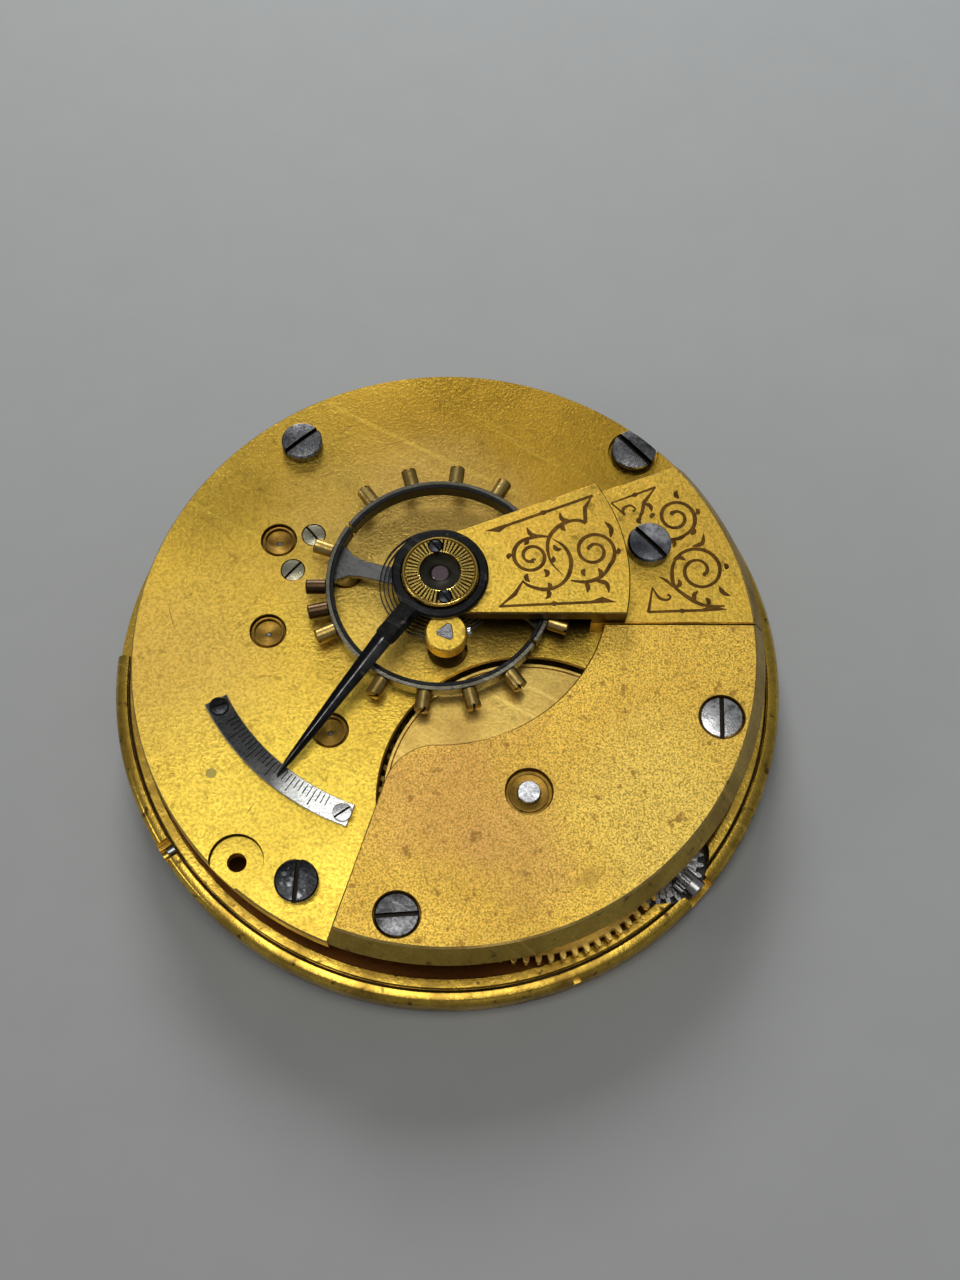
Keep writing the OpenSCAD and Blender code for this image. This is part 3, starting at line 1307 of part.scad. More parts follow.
ct = heading(centre_p, third_p);
module third_pinion() color("silver") at(third_p) {
    train_arbor();
    leaves(third_leaves, centre_n, third_at, ct + 180 + 180 / third_leaves, z_centre - 0.05,
        centre_t + 0.1, 0);
}

module centre_wheel() color("gold") {
    crossed_wheel(centre_n, third_leaves, third_at, ct, z_centre, centre_t, centre_r, 5, 0.6, 0.7,
        1.7);
}

module centre_arbor() color("silver") {
    drum(centre_r, floor_t + endshake, z_under - endshake);
    drum(centre_pivot_r, 0.2 - cannon_reach, floor_t + 1);
    drum(centre_pivot_r, z_under - 1, z_face - 0.45);
}

bc = heading(centre_p, barrel_p);
module safety_pinion() color("silver") {
    leaves(centre_leaves, barrel_n, barrel_at, bc + 180 / centre_leaves, z_barrel - 0.1,
        barrel_tooth_h + 0.2, centre_r);
}

// Motion work
cm = minute_a;
z_hour = 0.12;
z_minute = z_hour + motion_t + 0.18;
module cannon_pinion() color("silver") {
    pitch = pitch_r(minute_d, cannon_n, minute_n);
    difference() {
        union() {
            translate([0, 0, z_minute - 0.05]) linear_extrude(recess_d - 0.06 - z_minute + 0.05)
                toothed(cannon_n, pitch, minute_m, cm + 180 / cannon_n, leaf_addendum);
            drum(cannon_r, minute_seat_l - cannon_reach, z_minute);
            drum(minute_seat_r, -cannon_reach, z_minute);
        }
        drum(centre_pivot_r, -cannon_reach - 1, 2);
    }
}

module minute_wheel() color("gold") at(minute_p) {
    difference() {
        union() {
            translate([0, 0, z_minute]) linear_extrude(motion_t)
                toothed(minute_n, minute_pitch, minute_m, cm + 180, addendum);
            translate([0, 0, z_hour - 0.05]) linear_extrude(z_minute - z_hour + 0.05 + tiny)
                toothed(minute_leaves, minute_d - hour_pitch, hour_m,
                    cm + 180 + 180 / minute_leaves, leaf_addendum);
        }
        drum(shoulder_r - 0.2 + run_c, -1, 2);
    }
}

module hour_wheel() color("gold") {
    difference() {
        union() {
            translate([0, 0, z_hour]) linear_extrude(motion_t)
                toothed(hour_n, hour_pitch, hour_m, cm, addendum);
            drum(hour_pipe_r, -hour_reach, z_hour + tiny);
        }
        drum(cannon_r + run_c, -hour_reach - 1, 2);
    }
}

// Barrel, mainspring and winding work
module barrel() color("gold") at(barrel_p) {
    m = modulus(barrel_at, barrel_n, centre_leaves);
    pitch = pitch_r(barrel_at, barrel_n, centre_leaves);
    difference() {
        union() {
            translate([0, 0, z_barrel]) linear_extrude(barrel_tooth_h)
                toothed(barrel_n, pitch, m, bc + 180, addendum);
            drum(drum_r, z_barrel, z_cap);
        }
        drum(drum_r - drum_wall, z_barrel + cap_t, z_cap - cap_t);
        drum(drum_r - drum_wall + 0.15, z_cap - cap_t - tiny, z_cap + 1);
        drum(journal_r + run_c, z_barrel - 1, z_cap);
    }
}

module barrel_cap() color("gold") at(barrel_p) {
    difference() {
        union() {
            drum(drum_r - drum_wall + 0.15, z_cap - cap_t, z_cap);
            drum(journal_r + 0.5, z_cap - cap_t, z_cap + 0.05);
        }
        drum(journal_r + run_c, z_cap - 1, z_cap + 1);
    }
}

module mainspring() color("steelblue") at(barrel_p) {
    r0 = core_r + 0.15;
    r1 = drum_r - drum_wall - spring_t;
    steps = 20 * spring_turns;
    inner = [for (i = [0:steps]) polar(r0 + (r1 - r0) * i / steps, 18 * i)];
    outer = [for (i = [steps:-1:0]) polar(r0 + spring_t + (r1 - r0) * i / steps, 18 * i)];
    translate([0, 0, z_barrel + cap_t])
        linear_extrude(z_cap - z_barrel - 2 * cap_t - 0.1) polygon(concat(inner, outer));
}

module barrel_arbor() color("silver") at(barrel_p) {
    translate([-0.6, -0.6, 0.2]) cube([1.2, 1.2, recess_d]);
    drum(journal_r, recess_d + 0.02, z_cap + 0.1);
    drum(journal_r + 0.4, floor_t + endshake, z_barrel - 0.05);
    drum(core_r, z_barrel + cap_t + 0.05, z_cap - cap_t - 0.05);
    drum(arbor_end_r, z_cap, z_bridge - 0.08);
}

bk = heading(barrel_p, crown_p);
module ratchet_wheel() color("silver") at(barrel_p) {
    difference() {
        translate([0, 0, gap_dial]) linear_extrude(winding_t)
            toothed(ratchet_n, ratchet_pitch, winding_gear_m, bk, addendum);
        translate([-0.6, -0.6, -1]) cube([1.2, 1.2, 3]);
    }
}

module crown_wheel() color("silver") at(crown_p) {
    difference() {
        union() {
            translate([0, 0, gap_dial]) linear_extrude(winding_t)
                toothed(crown_n, crown_pitch, winding_gear_m, bk + 180 + 180 / crown_n,
                    addendum);
            intersection() {
                difference() {
                    drum(contrate_r, gap_dial, gap_dial + winding_t + contrate_h);
                    drum(contrate_r - contrate_w, -1, 4);
                }
                union() {
                    drum(contrate_r + 1, 0, gap_dial + winding_t);
                    for (i = [0:contrate_n - 1]) rotate(stem_a + i * 360 / contrate_n)
                        translate([0, -0.075, 0]) cube([contrate_r + 1, 0.15, 4]);
                }
            }
        }
        drum(shoulder_r + run_c, -1, 4);
    }
}

module winding_pinion() color("silver") {
    r0 = crown_at + contrate_mid - contrate_w / 2 - 0.05;
    rotate(stem_a) translate([0, 0, z_stem]) rotate([0, 90, 0]) difference() {
        union() {
            translate([0, 0, r0]) linear_extrude(contrate_w + 0.15)
                toothed(winding_n, winding_r, winding_m, 180 / winding_n, leaf_addendum);
            translate([0, 0, stem_r0]) cylinder(r = 0.45, h = r0 - stem_r0 + tiny);
            translate([0, 0, r0 + contrate_w + 0.1])
                cylinder(r = 0.65, h = stem_r1 - r0 - contrate_w - 0.1);
        }
        translate([-stem_square / 2, -stem_square / 2, r0 - 0.6]) cube([stem_square, stem_square, 9]);
    }
}

module click() color("silver") {
    difference() {
        at(click_p, gap_dial) union() {
            cylinder(r = click_r, h = winding_t);
            linear_extrude(winding_t) polygon([polar(click_r - 0.1, click_tip_a + 70),
                polar(click_r - 0.1, click_tip_a - 70), polar(click_len - 0.05, click_tip_a - 8),
                polar(click_len, click_tip_a + 6)]);
        }
        at(click_p) drum(shoulder_r + run_c, -1, 3);
    }
}

module setting_lever() color("silver") {
    difference() {
        at(set_p, gap_dial) union() {
            cylinder(r = set_w / 2 + 0.35, h = winding_t);
            rotate(set_dir) translate([0, -set_w / 2, 0]) cube([set_reach, set_w, winding_t]);
        }
        at(set_p) drum(shoulder_r + run_c, -1, 3);
        difference() {
            drum(rim_r + 5, -1, 3);
            drum(rim_r - 0.1, -2, 4);
        }
    }
}

pillar_plate();
plate_pillars();
top_plate();
pillar_screws();
barrel_bridge();
bridge_screws();
balance_cock();
cock_screw();
steady_pins();
case_screw();
plate_plug();
potance();
potance_screw();
banking_screws();
index_plate();
index_screws();
balance_cap();
cap_screws();
endstone_setting();
upper_balance_jewels();
lower_balance_jewels();
hairspring_stud();
stud_screw();
hairspring();
regulator();
dial_foot_screws();
minute_wheel_post();
winding_screws();
click_spring();
balance_staff();
balance_wheel();
balance_rim();
balance_screws();
hairspring_collet();
roller_table();
roller_jewel();
pallet_lever();
pallet_arbor();
pallet_stones();
escape_wheel();
escape_pinion();
fourth_wheel();
fourth_pinion();
third_wheel();
third_pinion();
centre_wheel();
centre_arbor();
safety_pinion();
cannon_pinion();
minute_wheel();
hour_wheel();
barrel();
barrel_cap();
mainspring();
barrel_arbor();
ratchet_wheel();
crown_wheel();
winding_pinion();
click();
setting_lever();
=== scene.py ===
import json
import math
import bpy
import bmesh
from mathutils import Vector, Matrix
from mathutils.geometry import tessellate_polygon


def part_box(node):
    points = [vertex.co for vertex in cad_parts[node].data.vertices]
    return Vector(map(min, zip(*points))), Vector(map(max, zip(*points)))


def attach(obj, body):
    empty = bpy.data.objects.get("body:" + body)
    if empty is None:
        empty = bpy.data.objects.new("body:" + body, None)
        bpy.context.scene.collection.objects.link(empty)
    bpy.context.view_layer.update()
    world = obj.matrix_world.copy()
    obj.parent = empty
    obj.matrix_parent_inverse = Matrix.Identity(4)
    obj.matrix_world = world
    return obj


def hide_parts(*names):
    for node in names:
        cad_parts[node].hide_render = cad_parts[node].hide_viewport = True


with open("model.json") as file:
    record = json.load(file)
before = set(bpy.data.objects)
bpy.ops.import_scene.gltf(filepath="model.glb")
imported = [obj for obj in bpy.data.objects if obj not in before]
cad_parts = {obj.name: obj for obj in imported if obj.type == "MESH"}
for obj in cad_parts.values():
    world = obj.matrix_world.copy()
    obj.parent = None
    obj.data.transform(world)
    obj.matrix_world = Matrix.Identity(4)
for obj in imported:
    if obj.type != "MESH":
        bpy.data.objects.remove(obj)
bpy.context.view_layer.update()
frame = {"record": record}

# Camera and light. The movement is looked at from its front, 69 degrees above its plates,
# from 110 mm away. It leans on the tip of its cannon pinion and on its rim, so the table
# slopes by seven degrees against the plates.
scene = bpy.context.scene
scene.view_settings.view_transform = "Standard"
view_up = math.radians(69.12)
view_distance = 0.110
eye = Vector((0.0, -view_distance * math.cos(view_up), view_distance * math.sin(view_up)))
roll = math.radians(-0.2)
right, up = Vector((1, 0, 0)), Vector((0, math.sin(view_up), math.cos(view_up)))
forward = Vector((0, math.cos(view_up), -math.sin(view_up)))
side = math.cos(roll) * right - math.sin(roll) * up
top = math.sin(roll) * right + math.cos(roll) * up
lens = bpy.data.cameras.new("watch_camera")
lens.lens = 45.0
lens.clip_start = 0.005
lens.shift_x, lens.shift_y = 32.5 / 1280, 42.8 / 1280
camera = bpy.data.objects.new("watch_camera", lens)
camera.matrix_world = Matrix(((side.x, top.x, -forward.x, eye.x), (side.y, top.y, -forward.y, eye.y),
    (side.z, top.z, -forward.z, eye.z), (0, 0, 0, 1)))
scene.collection.objects.link(camera)
scene.camera = camera

lean = math.radians(-63)
case_r = 22.43
tip_r, tip_z = 0.6, -2.7
slope = -tip_z / (case_r - tip_r)
table_half, table_gap = 900, 0.02
table_mesh = bpy.data.meshes.new("table")
corners = []
for x, y in ((-1, -1), (1, -1), (1, 1), (-1, 1)):
    x, y = x * table_half, y * table_half
    along = x * math.cos(lean) + y * math.sin(lean)
    corners.append((x / 1000, y / 1000, (tip_z - table_gap + (along - tip_r) * slope) / 1000))
table_mesh.from_pydata(corners, [], [(0, 1, 2, 3)])
table = bpy.data.objects.new("table", table_mesh)
scene.collection.objects.link(table)


def new_material(name):
    material = bpy.data.materials.new(name)
    material.use_nodes = True
    return material, material.node_tree, material.node_tree.nodes["Principled BSDF"]


# Sets a node's inputs: a socket of another node is linked, anything else is a value
def wire(tree, node, inputs):
    for key, value in inputs.items():
        if isinstance(value, bpy.types.NodeSocket):
            tree.links.new(value, node.inputs[key])
        elif node.inputs[key].type == "RGBA":
            node.inputs[key].default_value = (*value, 1)
        else:
            node.inputs[key].default_value = value


def add(tree, kind, inputs, **settings):
    node = tree.nodes.new("ShaderNode" + kind)
    for key, value in settings.items():
        setattr(node, key, value)
    wire(tree, node, inputs)
    return node


def mixed(tree, factor, first, second, **settings):
    return add(tree, "Mix", {"Factor": factor, 6: first, 7: second}, data_type="RGBA", **settings).outputs[2]


paper, tree, shader = new_material("table_top")
where = add(tree, "TexCoord", {}).outputs["Object"]
fibre = add(tree, "TexNoise", {"Scale": 260, "Detail": 5, "Vector": where})
tone = mixed(tree, fibre.outputs["Fac"], (0.93, 0.93, 0.93), (1.0, 1.0, 1.0))
# Painted light: the table is coloured lighter towards the back and right and darker towards the front and
# left, as the lamps fall on it.
across = add(tree, "VectorMath", {0: where, 1: (0.45, 0.89, 0)}, operation="DOT_PRODUCT")
reach = add(tree, "MapRange", {"From Min": -0.06, "From Max": 0.09, "Value": across.outputs["Value"]})
shade = mixed(tree, reach.outputs["Result"], (0.29, 0.292, 0.286), (0.38, 0.395, 0.39))
fibre_and_falloff = mixed(tree, 1.0, shade, tone, blend_type="MULTIPLY")
wire(tree, shader, {"Base Color": fibre_and_falloff, "Roughness": 0.7})
table_mesh.materials.append(paper)

world = bpy.data.worlds.new("studio")
scene.world = world
world.use_nodes = True
wire(world.node_tree, world.node_tree.nodes["Background"], {"Color": (0.80, 0.82, 0.85), "Strength": 0.24})


def soft_lamp(name, place, size, power, tint):
    light = bpy.data.lights.new(name, "AREA")
    light.size = size
    light.energy = power
    light.color = tint
    lamp = bpy.data.objects.new(name, light)
    lamp.location = place
    lamp.rotation_euler = Vector(place).to_track_quat("Z", "Y").to_euler()
    scene.collection.objects.link(lamp)


soft_lamp("window_above", (-0.03, -0.01, 0.50), 0.27, 0.72, (1.0, 0.99, 0.96))
soft_lamp("window_back", (-0.06, 0.49, 0.27), 0.20, 2.0, (0.97, 0.98, 1.0))
soft_lamp("front_fill", (0.12, -0.42, 0.24), 0.20, 0.04, (1.0, 0.97, 0.92))
soft_lamp("side_window", (-0.44, -0.12, 0.22), 0.14, 0.22, (1.0, 0.98, 0.94))

# Pillar plate. The large gilt plate that carries everything: its rim, turned with a step, a
# groove and a ridge, seats in the case. Notches are filed in the rim for the stem, for a
# dial foot screw and as an index, and recesses on the dial side take the winding work.
def polar(radius, angle, centre=(0.0, 0.0)):
    turn = math.radians(angle)
    return (centre[0] + radius * math.cos(turn), centre[1] + radius * math.sin(turn))


def heading(start, end):
    return math.degrees(math.atan2(end[1] - start[1], end[0] - start[0]))


def axis_at(joint):
    place = next(j for j in frame["record"]["behaviour"]["joints"] if j["name"] == joint)["pos_m"]
    return tuple(1000 * c for c in place)


def levels(node):
    low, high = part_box(node)
    return 1000 * low.z, 1000 * high.z


# The grain, patches, specks and scratches that all the metal finishes share
def metal_texture():
    group = bpy.data.node_groups.new("metal_texture", "ShaderNodeTree")
    for name, value in (("Grain Scale", 2500.0), ("Patch Scale", 160.0), ("Brush Angle", 0.5)):
        socket = group.interface.new_socket(name=name, in_out="INPUT", socket_type="NodeSocketFloat")
        socket.default_value = value
    for name in ("Grain", "Patch", "Speck", "Scratch"):
        group.interface.new_socket(name=name, in_out="OUTPUT", socket_type="NodeSocketFloat")
    given = group.nodes.new("NodeGroupInput").outputs
    leave = group.nodes.new("NodeGroupOutput")
    where = add(group, "TexCoord", {}).outputs["Object"]

    def noise(scale, detail, rough, vector=where):
        return add(group, "TexNoise", {"Scale": scale, "Detail": detail, "Roughness": rough,
            "Vector": vector}).outputs["Fac"]

    def ramp(source, low, high):
        return add(group, "MapRange", {"From Min": low, "From Max": high, "Value": source}).outputs["Result"]

    turn = add(group, "VectorRotate", {"Vector": where, "Angle": given["Brush Angle"]},
        rotation_type="Z_AXIS")
    stretch = add(group, "Mapping", {"Scale": (60, 2600, 60), "Vector": turn.outputs["Vector"]})
    line = noise(1.0, 4, 0.5, stretch.outputs["Vector"])
    wire(group, leave, {"Grain": noise(given["Grain Scale"], 3, 0.7),
        "Patch": ramp(noise(given["Patch Scale"], 6, 0.62), 0.36, 0.68),
        "Speck": ramp(noise(1400, 2, 0.5), 0.63, 0.72), "Scratch": ramp(line, 0.60, 0.72)})
    return group


texture_group = metal_texture()


# A metal finish: its clean colour, the colour of its tarnish, and how much of each shows.
# Stains and painted light are soft round marks at a place on the plate, each with its radius and colour:
# some are real stains, others paint shade, a shadow or a highlight.
def finish(name, clean, tarnish, rough, patch=0.5, speck=0.15, bump=0.25, scratch=0.1, grain=5000,
        patch_scale=160, dark=None, angle=0.5, stains_and_painted_light=(), sparkle=0.25):
    material, tree, shader = new_material(name)
    wear = add(tree, "Group", {"Grain Scale": grain, "Patch Scale": patch_scale, "Brush Angle": angle},
        node_tree=texture_group).outputs

    def over(colour, mask, share, tint):
        return mixed(tree, add(tree, "Math", {0: mask, 1: share}, operation="MULTIPLY").outputs[0], colour,
            tint)

    colour = over(clean, wear["Patch"], patch, tarnish)
    for place, radius, tint, share in stains_and_painted_light:
        where = add(tree, "TexCoord", {}).outputs["Object"]
        ripple = add(tree, "TexNoise", {"Scale": 900 / radius, "Detail": 5, "Vector": where})
        away = add(tree, "VectorMath", {0: where, 1: tuple(c / 1000 for c in place)}, operation="DISTANCE")
        rise = add(tree, "Math", {0: ripple.outputs["Fac"], 1: -0.0016 * radius, 2: away.outputs["Value"]},
            operation="MULTIPLY_ADD")
        fall = add(tree, "MapRange", {"From Min": -0.0005 * radius, "From Max": 0.0005 * radius,
            "To Min": 1, "To Max": 0, "Value": rise.outputs[0]}, interpolation_type="SMOOTHSTEP")
        colour = over(colour, fall.outputs["Result"], share, tint)
    grains = add(tree, "MapRange", {"From Min": 0.42, "From Max": 0.62, "Value": wear["Grain"]})
    colour = over(colour, grains.outputs["Result"], sparkle, tuple(c * 0.45 for c in tarnish))
    colour = over(colour, wear["Speck"], speck, dark or tuple(c * 0.35 for c in tarnish))
    colour = over(colour, wear["Scratch"], scratch, tuple(min(1, c * 1.25 + 0.03) for c in clean))
    level = add(tree, "MapRange", {"To Min": max(0.05, rough - 0.06), "To Max": min(1, rough + 0.10),
        "Value": wear["Patch"]})
    relief = add(tree, "Bump", {"Strength": bump, "Distance": 0.00004, "Height": wear["Grain"]})
    wire(tree, shader, {"Base Color": colour, "Metallic": 1.0, "Roughness": level.outputs["Result"],
        "Normal": relief.outputs["Normal"]})
    return material


# Marks the edges that are turned or filed sharp, and shades the rest smooth
def set_edges(obj, limit=30):
    form = bmesh.new()
    form.from_mesh(obj.data)
    bmesh.ops.recalc_face_normals(form, faces=form.faces)
    for face in form.faces:
        face.smooth = True
    for edge in form.edges:
        edge.smooth = len(edge.link_faces) == 2 and edge.calc_face_angle(0) < math.radians(limit)
    form.to_mesh(obj.data)
    form.free()


def solid(name, points, faces, *materials):
    mesh = bpy.data.meshes.new(name)
    mesh.from_pydata([(x / 1000, y / 1000, z / 1000) for x, y, z in points], [], faces)
    for material in materials:
        mesh.materials.append(material)
    obj = bpy.data.objects.new(name, mesh)
    scene.collection.objects.link(obj)
    set_edges(obj)
    return obj


# A turned form: its section in radius and height, swept round an upright axis
def turned(name, section, material, centre=(0.0, 0.0), steps=96):
    points, rows = [], []
    for radius, height in section:
        if radius < 1e-6:
            rows.append([len(points)] * steps)
            points.append((*centre, height))
        else:
            rows.append([len(points) + k for k in range(steps)])
            points += [(*polar(radius, 360 * k / steps, centre), height) for k in range(steps)]
    faces = []
    closed = section[0][0] > 1e-6 and section[-1][0] > 1e-6
    for low, high in zip(rows, rows[1:] + ([rows[0]] if closed else [])):
        for k in range(steps):
            n = (k + 1) % steps
            corner = [low[k], low[n], high[n], high[k]]
            face = [c for i, c in enumerate(corner) if c != corner[i - 1]]
            if len(face) > 2:
                faces.append(face)
    return solid(name, points, faces, material)


def joined(name, parts):
    form = bmesh.new()
    slots = []
    for part in parts:
        order = []
        for material in part.data.materials:
            if material not in slots:
                slots.append(material)
            order.append(slots.index(material))
        start = len(form.faces)
        form.from_mesh(part.data)
        form.faces.ensure_lookup_table()
        for face in form.faces[start:]:
            face.material_index = order[face.material_index] if order else 0
    mesh = bpy.data.meshes.new(name)
    form.to_mesh(mesh)
    form.free()
    for material in slots:
        mesh.materials.append(material)
    for part in parts:
        bpy.data.objects.remove(part)
    obj = bpy.data.objects.new(name, mesh)
    scene.collection.objects.link(obj)
    return obj


# Cuts the tools' forms out of a piece, as on a lathe or a milling machine
def cut(obj, tools, limit=30):
    tool = joined("tool", tools)
    step = obj.modifiers.new("cut", "BOOLEAN")
    step.operation = "DIFFERENCE"
    step.object = tool
    step.solver = "EXACT"
    step.use_self = True
    step.material_mode = "TRANSFER"
    done = bpy.data.meshes.new_from_object(obj.evaluated_get(bpy.context.evaluated_depsgraph_get()))
    obj.modifiers.clear()
    obj.data = done
    bpy.data.objects.remove(tool)
    set_edges(obj, limit)
    return obj


# The faces between two rows of corners, each row starting at its own number
def between(low_row, high_row, count):
    return [(low_row + c, low_row + (c + 1) % count, high_row + (c + 1) % count, high_row + c)
        for c in range(count)]


def prism(outline, z0, z1, material):
    count = len(outline)
    points = [(x, y, z) for z in (z0, z1) for x, y in outline]
    faces = [tuple(range(count - 1, -1, -1)), tuple(range(count, 2 * count)), *between(0, count, count)]
    return solid("tool", points, faces, material)


# Turns an outline in plan and moves it to its place
def placed(outline, place, turn):
    c, s = math.cos(math.radians(turn)), math.sin(math.radians(turn))
    return [(place[0] + x * c - y * s, place[1] + x * s + y * c) for x, y in outline]


def block(size, turn, material, place=(0.0, 0.0)):
    (x0, x1), (y0, y1), (z0, z1) = size
    return prism(placed([(x0, y0), (x1, y0), (x1, y1), (x0, y1)], place, turn), z0, z1, material)


# The form of a stepped hole: from its foot up, the radius and the upper end of each step
def stepped(place, foot, steps, material, count=64):
    section = [(0, foot)]
    for radius, top in steps:
        section += [(radius, section[-1][1]), (radius, top)]
    return turned("tool", section + [(0, section[-1][1])], material, place, count)


def bore(place, radius, z0, z1, material):
    return stepped(place, z0, [(radius, z1)], material)


# Lays an upright piece down along a direction in plan, its foot at the place given
def laid(obj, place, turn):
    axis = Matrix.Rotation(math.radians(turn), 4, "Z") @ Matrix.Rotation(math.radians(90), 4, "Y")
    obj.data.transform(Matrix.Translation(Vector(place) / 1000) @ axis)
    return obj


def arc(radius, start, end, count, centre=(0.0, 0.0)):
    return [polar(radius, start + (end - start) * k / count, centre) for k in range(count + 1)]


def put(obj, body, *nodes):
    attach(obj, body)
    if nodes:
        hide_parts(*nodes)


rim_gilt = finish("rim_gilt", (0.80, 0.53, 0.08), (0.22, 0.12, 0.02), 0.27, patch=1.0, speck=0.9, bump=0.35,
    scratch=0.45, grain=4000, patch_scale=240, dark=(0.10, 0.05, 0.015))
# Painted shade: the plate's floor between the plates, the stem window and the stem's bearing are coloured
# dark brown for the shade that falls there.
floor_shade_gilt = finish("floor_shade_gilt", (0.15, 0.055, 0.012), (0.06, 0.022, 0.006), 0.40, patch=0.8, speck=0.3)
# Painted shade: near-black for the rim's groove, the wall of the barrel's cut-out in the top plate and the
# wall of the case-screw hole.
recess_shade_dark = finish("recess_shade_dark", (0.05, 0.03, 0.01), (0.015, 0.010, 0.005), 0.5, patch=0.9, speck=0.4)
dial_gilt = finish("dial_side_gilt", (0.72, 0.48, 0.12), (0.46, 0.27, 0.07), 0.38, patch=0.6, speck=0.2,
    scratch=0.15)
floor_top = 1.75
stem_turn = -42.7
foot_turn, foot_r, foot_z = -145.8, 19.45, 0.95
crown_p, barrel_p, minute_p, click_p, lever_pivot = (axis_at(joint)[:2] for joint in (
    "crown_turn", "barrel_turn", "minute_turn", "click_swing", "set_lever_swing"))
stem_z = axis_at("winding_turn")[2]
rim = turned("rim", [(0, 0), (22.40, 0), (case_r, 0.03), (case_r, 1.55), (22.33, 1.76), (22.16, 1.93),
    (22.03, 2.0), (21.62, 2.0), (21.58, 1.96), (21.58, 1.65), (21.36, 1.65), (21.36, 2.16), (21.32, 2.2),
    (20.81, 2.2), (20.76, 2.15), (20.76, floor_top), (0, floor_top)], rim_gilt, steps=384)
notch = 1.003
window_r = 19.75
below, above, beyond = -1, 6, 25
tools = [block(((window_r, beyond), (-notch, notch), (stem_z - notch, above)), stem_turn, rim_gilt)]
stem_x, stem_y = polar(1, stem_turn)
window = [(x, y) for x, y in arc(3.44, 0, 359, 90, crown_p) if x * stem_x + y * stem_y > window_r]
first = max(range(len(window)), key=lambda k: math.dist(window[k], window[k - 1]))
tools.append(prism(window[first:] + window[:first], 0.95, above, floor_shade_gilt))
tools.append(block(((21.53, beyond), (-0.65, 0.65), (0.95, above)), foot_turn, rim_gilt))
tools.append(block(((22.13, beyond), (-0.25, 0.25), (1.3, above)), -68.3, rim_gilt))
tools.append(prism(arc(beyond, 118, 177, 40) + arc(21.53, 177, 118, 40), 0.7, above, rim_gilt))
recess = 0.95
spring_foot = polar(3.4, 232, click_p)
for place, radius, depth in (((0, 0), 3.40, recess), (minute_p, 3.22, recess), (barrel_p, 6.01, recess),
        (crown_p, 3.54, 1.30), (click_p, 3.82, recess), (spring_foot, 1.4, recess),
        (lever_pivot, 1.35, recess)):
    tools.append(bore(place, radius, below, depth, dial_gilt))
lever_turn = -51.6
for swing in (0, 4, 8, 12):
    tools.append(block(((0, 12), (-0.85, 0.85), (below, recess)), lever_turn + swing, dial_gilt,
        lever_pivot))
for joint in ("third_turn", "fourth_turn", "escape_turn", "lever_swing"):
    hole = 0.33 if joint == "fourth_turn" else 0.17
    cup = [(0, below), (0.98, below), (0.98, 0), (0.9, 0.05), (hole, 0.8), (hole, 4), (0, 4)]
    tools.append(turned("tool", cup, dial_gilt, axis_at(joint)[:2], 48))
tools.append(bore((0, 0), 0.43, below, 4, dial_gilt))
for turn in (foot_turn, foot_turn + 120, foot_turn + 240):
    foot = [(0, below), (0.53, below), (0.53, 0), (0.45, 0.08), (0.45, 1.55), (0, 1.55)]
    foot_p = polar(foot_r, turn)
    tools.append(turned("tool", foot, dial_gilt, foot_p, 48))
    tools.append(laid(stepped((0, 0), 0, [(0.42, 9)], rim_gilt, 48), (*foot_p, foot_z), turn))
# The floor between the plates is cut in the painted shade colour.
tools.append(bore((0, 0), 20.745, floor_top - 0.02, above, floor_shade_gilt))
# The rim's groove is painted shade.
tools.append(turned("tool", [(21.37, 1.60), (21.57, 1.60), (21.57, 1.9), (21.37, 1.9)], recess_shade_dark,
    steps=384))
rim = cut(rim, tools)
bearing = block(((17.65, 19.65), (-1.0, 1.0), (floor_top - 0.01, stem_z + 0.75)), stem_turn, floor_shade_gilt)
stem_bore = stepped((0, 0), 0, [(0.48, 4)], floor_shade_gilt, 48)
bearing = cut(bearing, [laid(stem_bore, (*polar(18.8, stem_turn), stem_z), stem_turn)])
put(joined("rim", [rim, bearing]), "frame", "pillar_plate")

# Pillars. Five turned brass pillars, riveted into the pillar plate: three hold the top plate,
# and two thinner and taller ones reach up to the barrel bridge. A screw goes into the end of
# each one.
pillar_brass = finish("pillar_brass", (0.62, 0.38, 0.10), (0.30, 0.15, 0.04), 0.28, patch=0.5, speck=0.2,
    scratch=0.3)
under, top_face = levels("top_plate")
pillar_at = 18.1
plate_pillars = [polar(pillar_at, a) for a in (123.5, -120.7, 30.5)]
bridge_pillars = [polar(pillar_at, a) for a in (-99.6, -16.4)]


def pillar(place, radius, end):
    low, waist = floor_top, radius * 0.84
    return turned("pillar", [(0, low), (radius - 0.05, low), (radius, low + 0.05), (radius, low + 0.28),
        (radius - 0.06, low + 0.34), (radius * 0.9, low + 0.36), (waist, low + 0.5),
        (waist * 0.97, (low + end) / 2), (waist, end - 0.5), (radius * 0.9, end - 0.36),
        (radius - 0.06, end - 0.34), (radius, end - 0.28), (radius, end - 0.04), (radius - 0.04, end),
        (0, end)], pillar_brass, place, 64)


pillars = [pillar(p, 1.6, under) for p in plate_pillars]
pillars += [pillar(p, 1.08, top_face) for p in bridge_pillars]
put(joined("pillars", pillars), "frame", "plate_pillars")

# Dial foot screws. Three short headless steel screws that go in through the rim and hold the
# dial's feet. One shows in the rim's notch.
screw_grey = finish("screw_grey", (0.34, 0.35, 0.37), (0.12, 0.12, 0.13), 0.30, patch=0.9, speck=0.6,
    scratch=0.5, patch_scale=700, dark=(0.03, 0.025, 0.02))
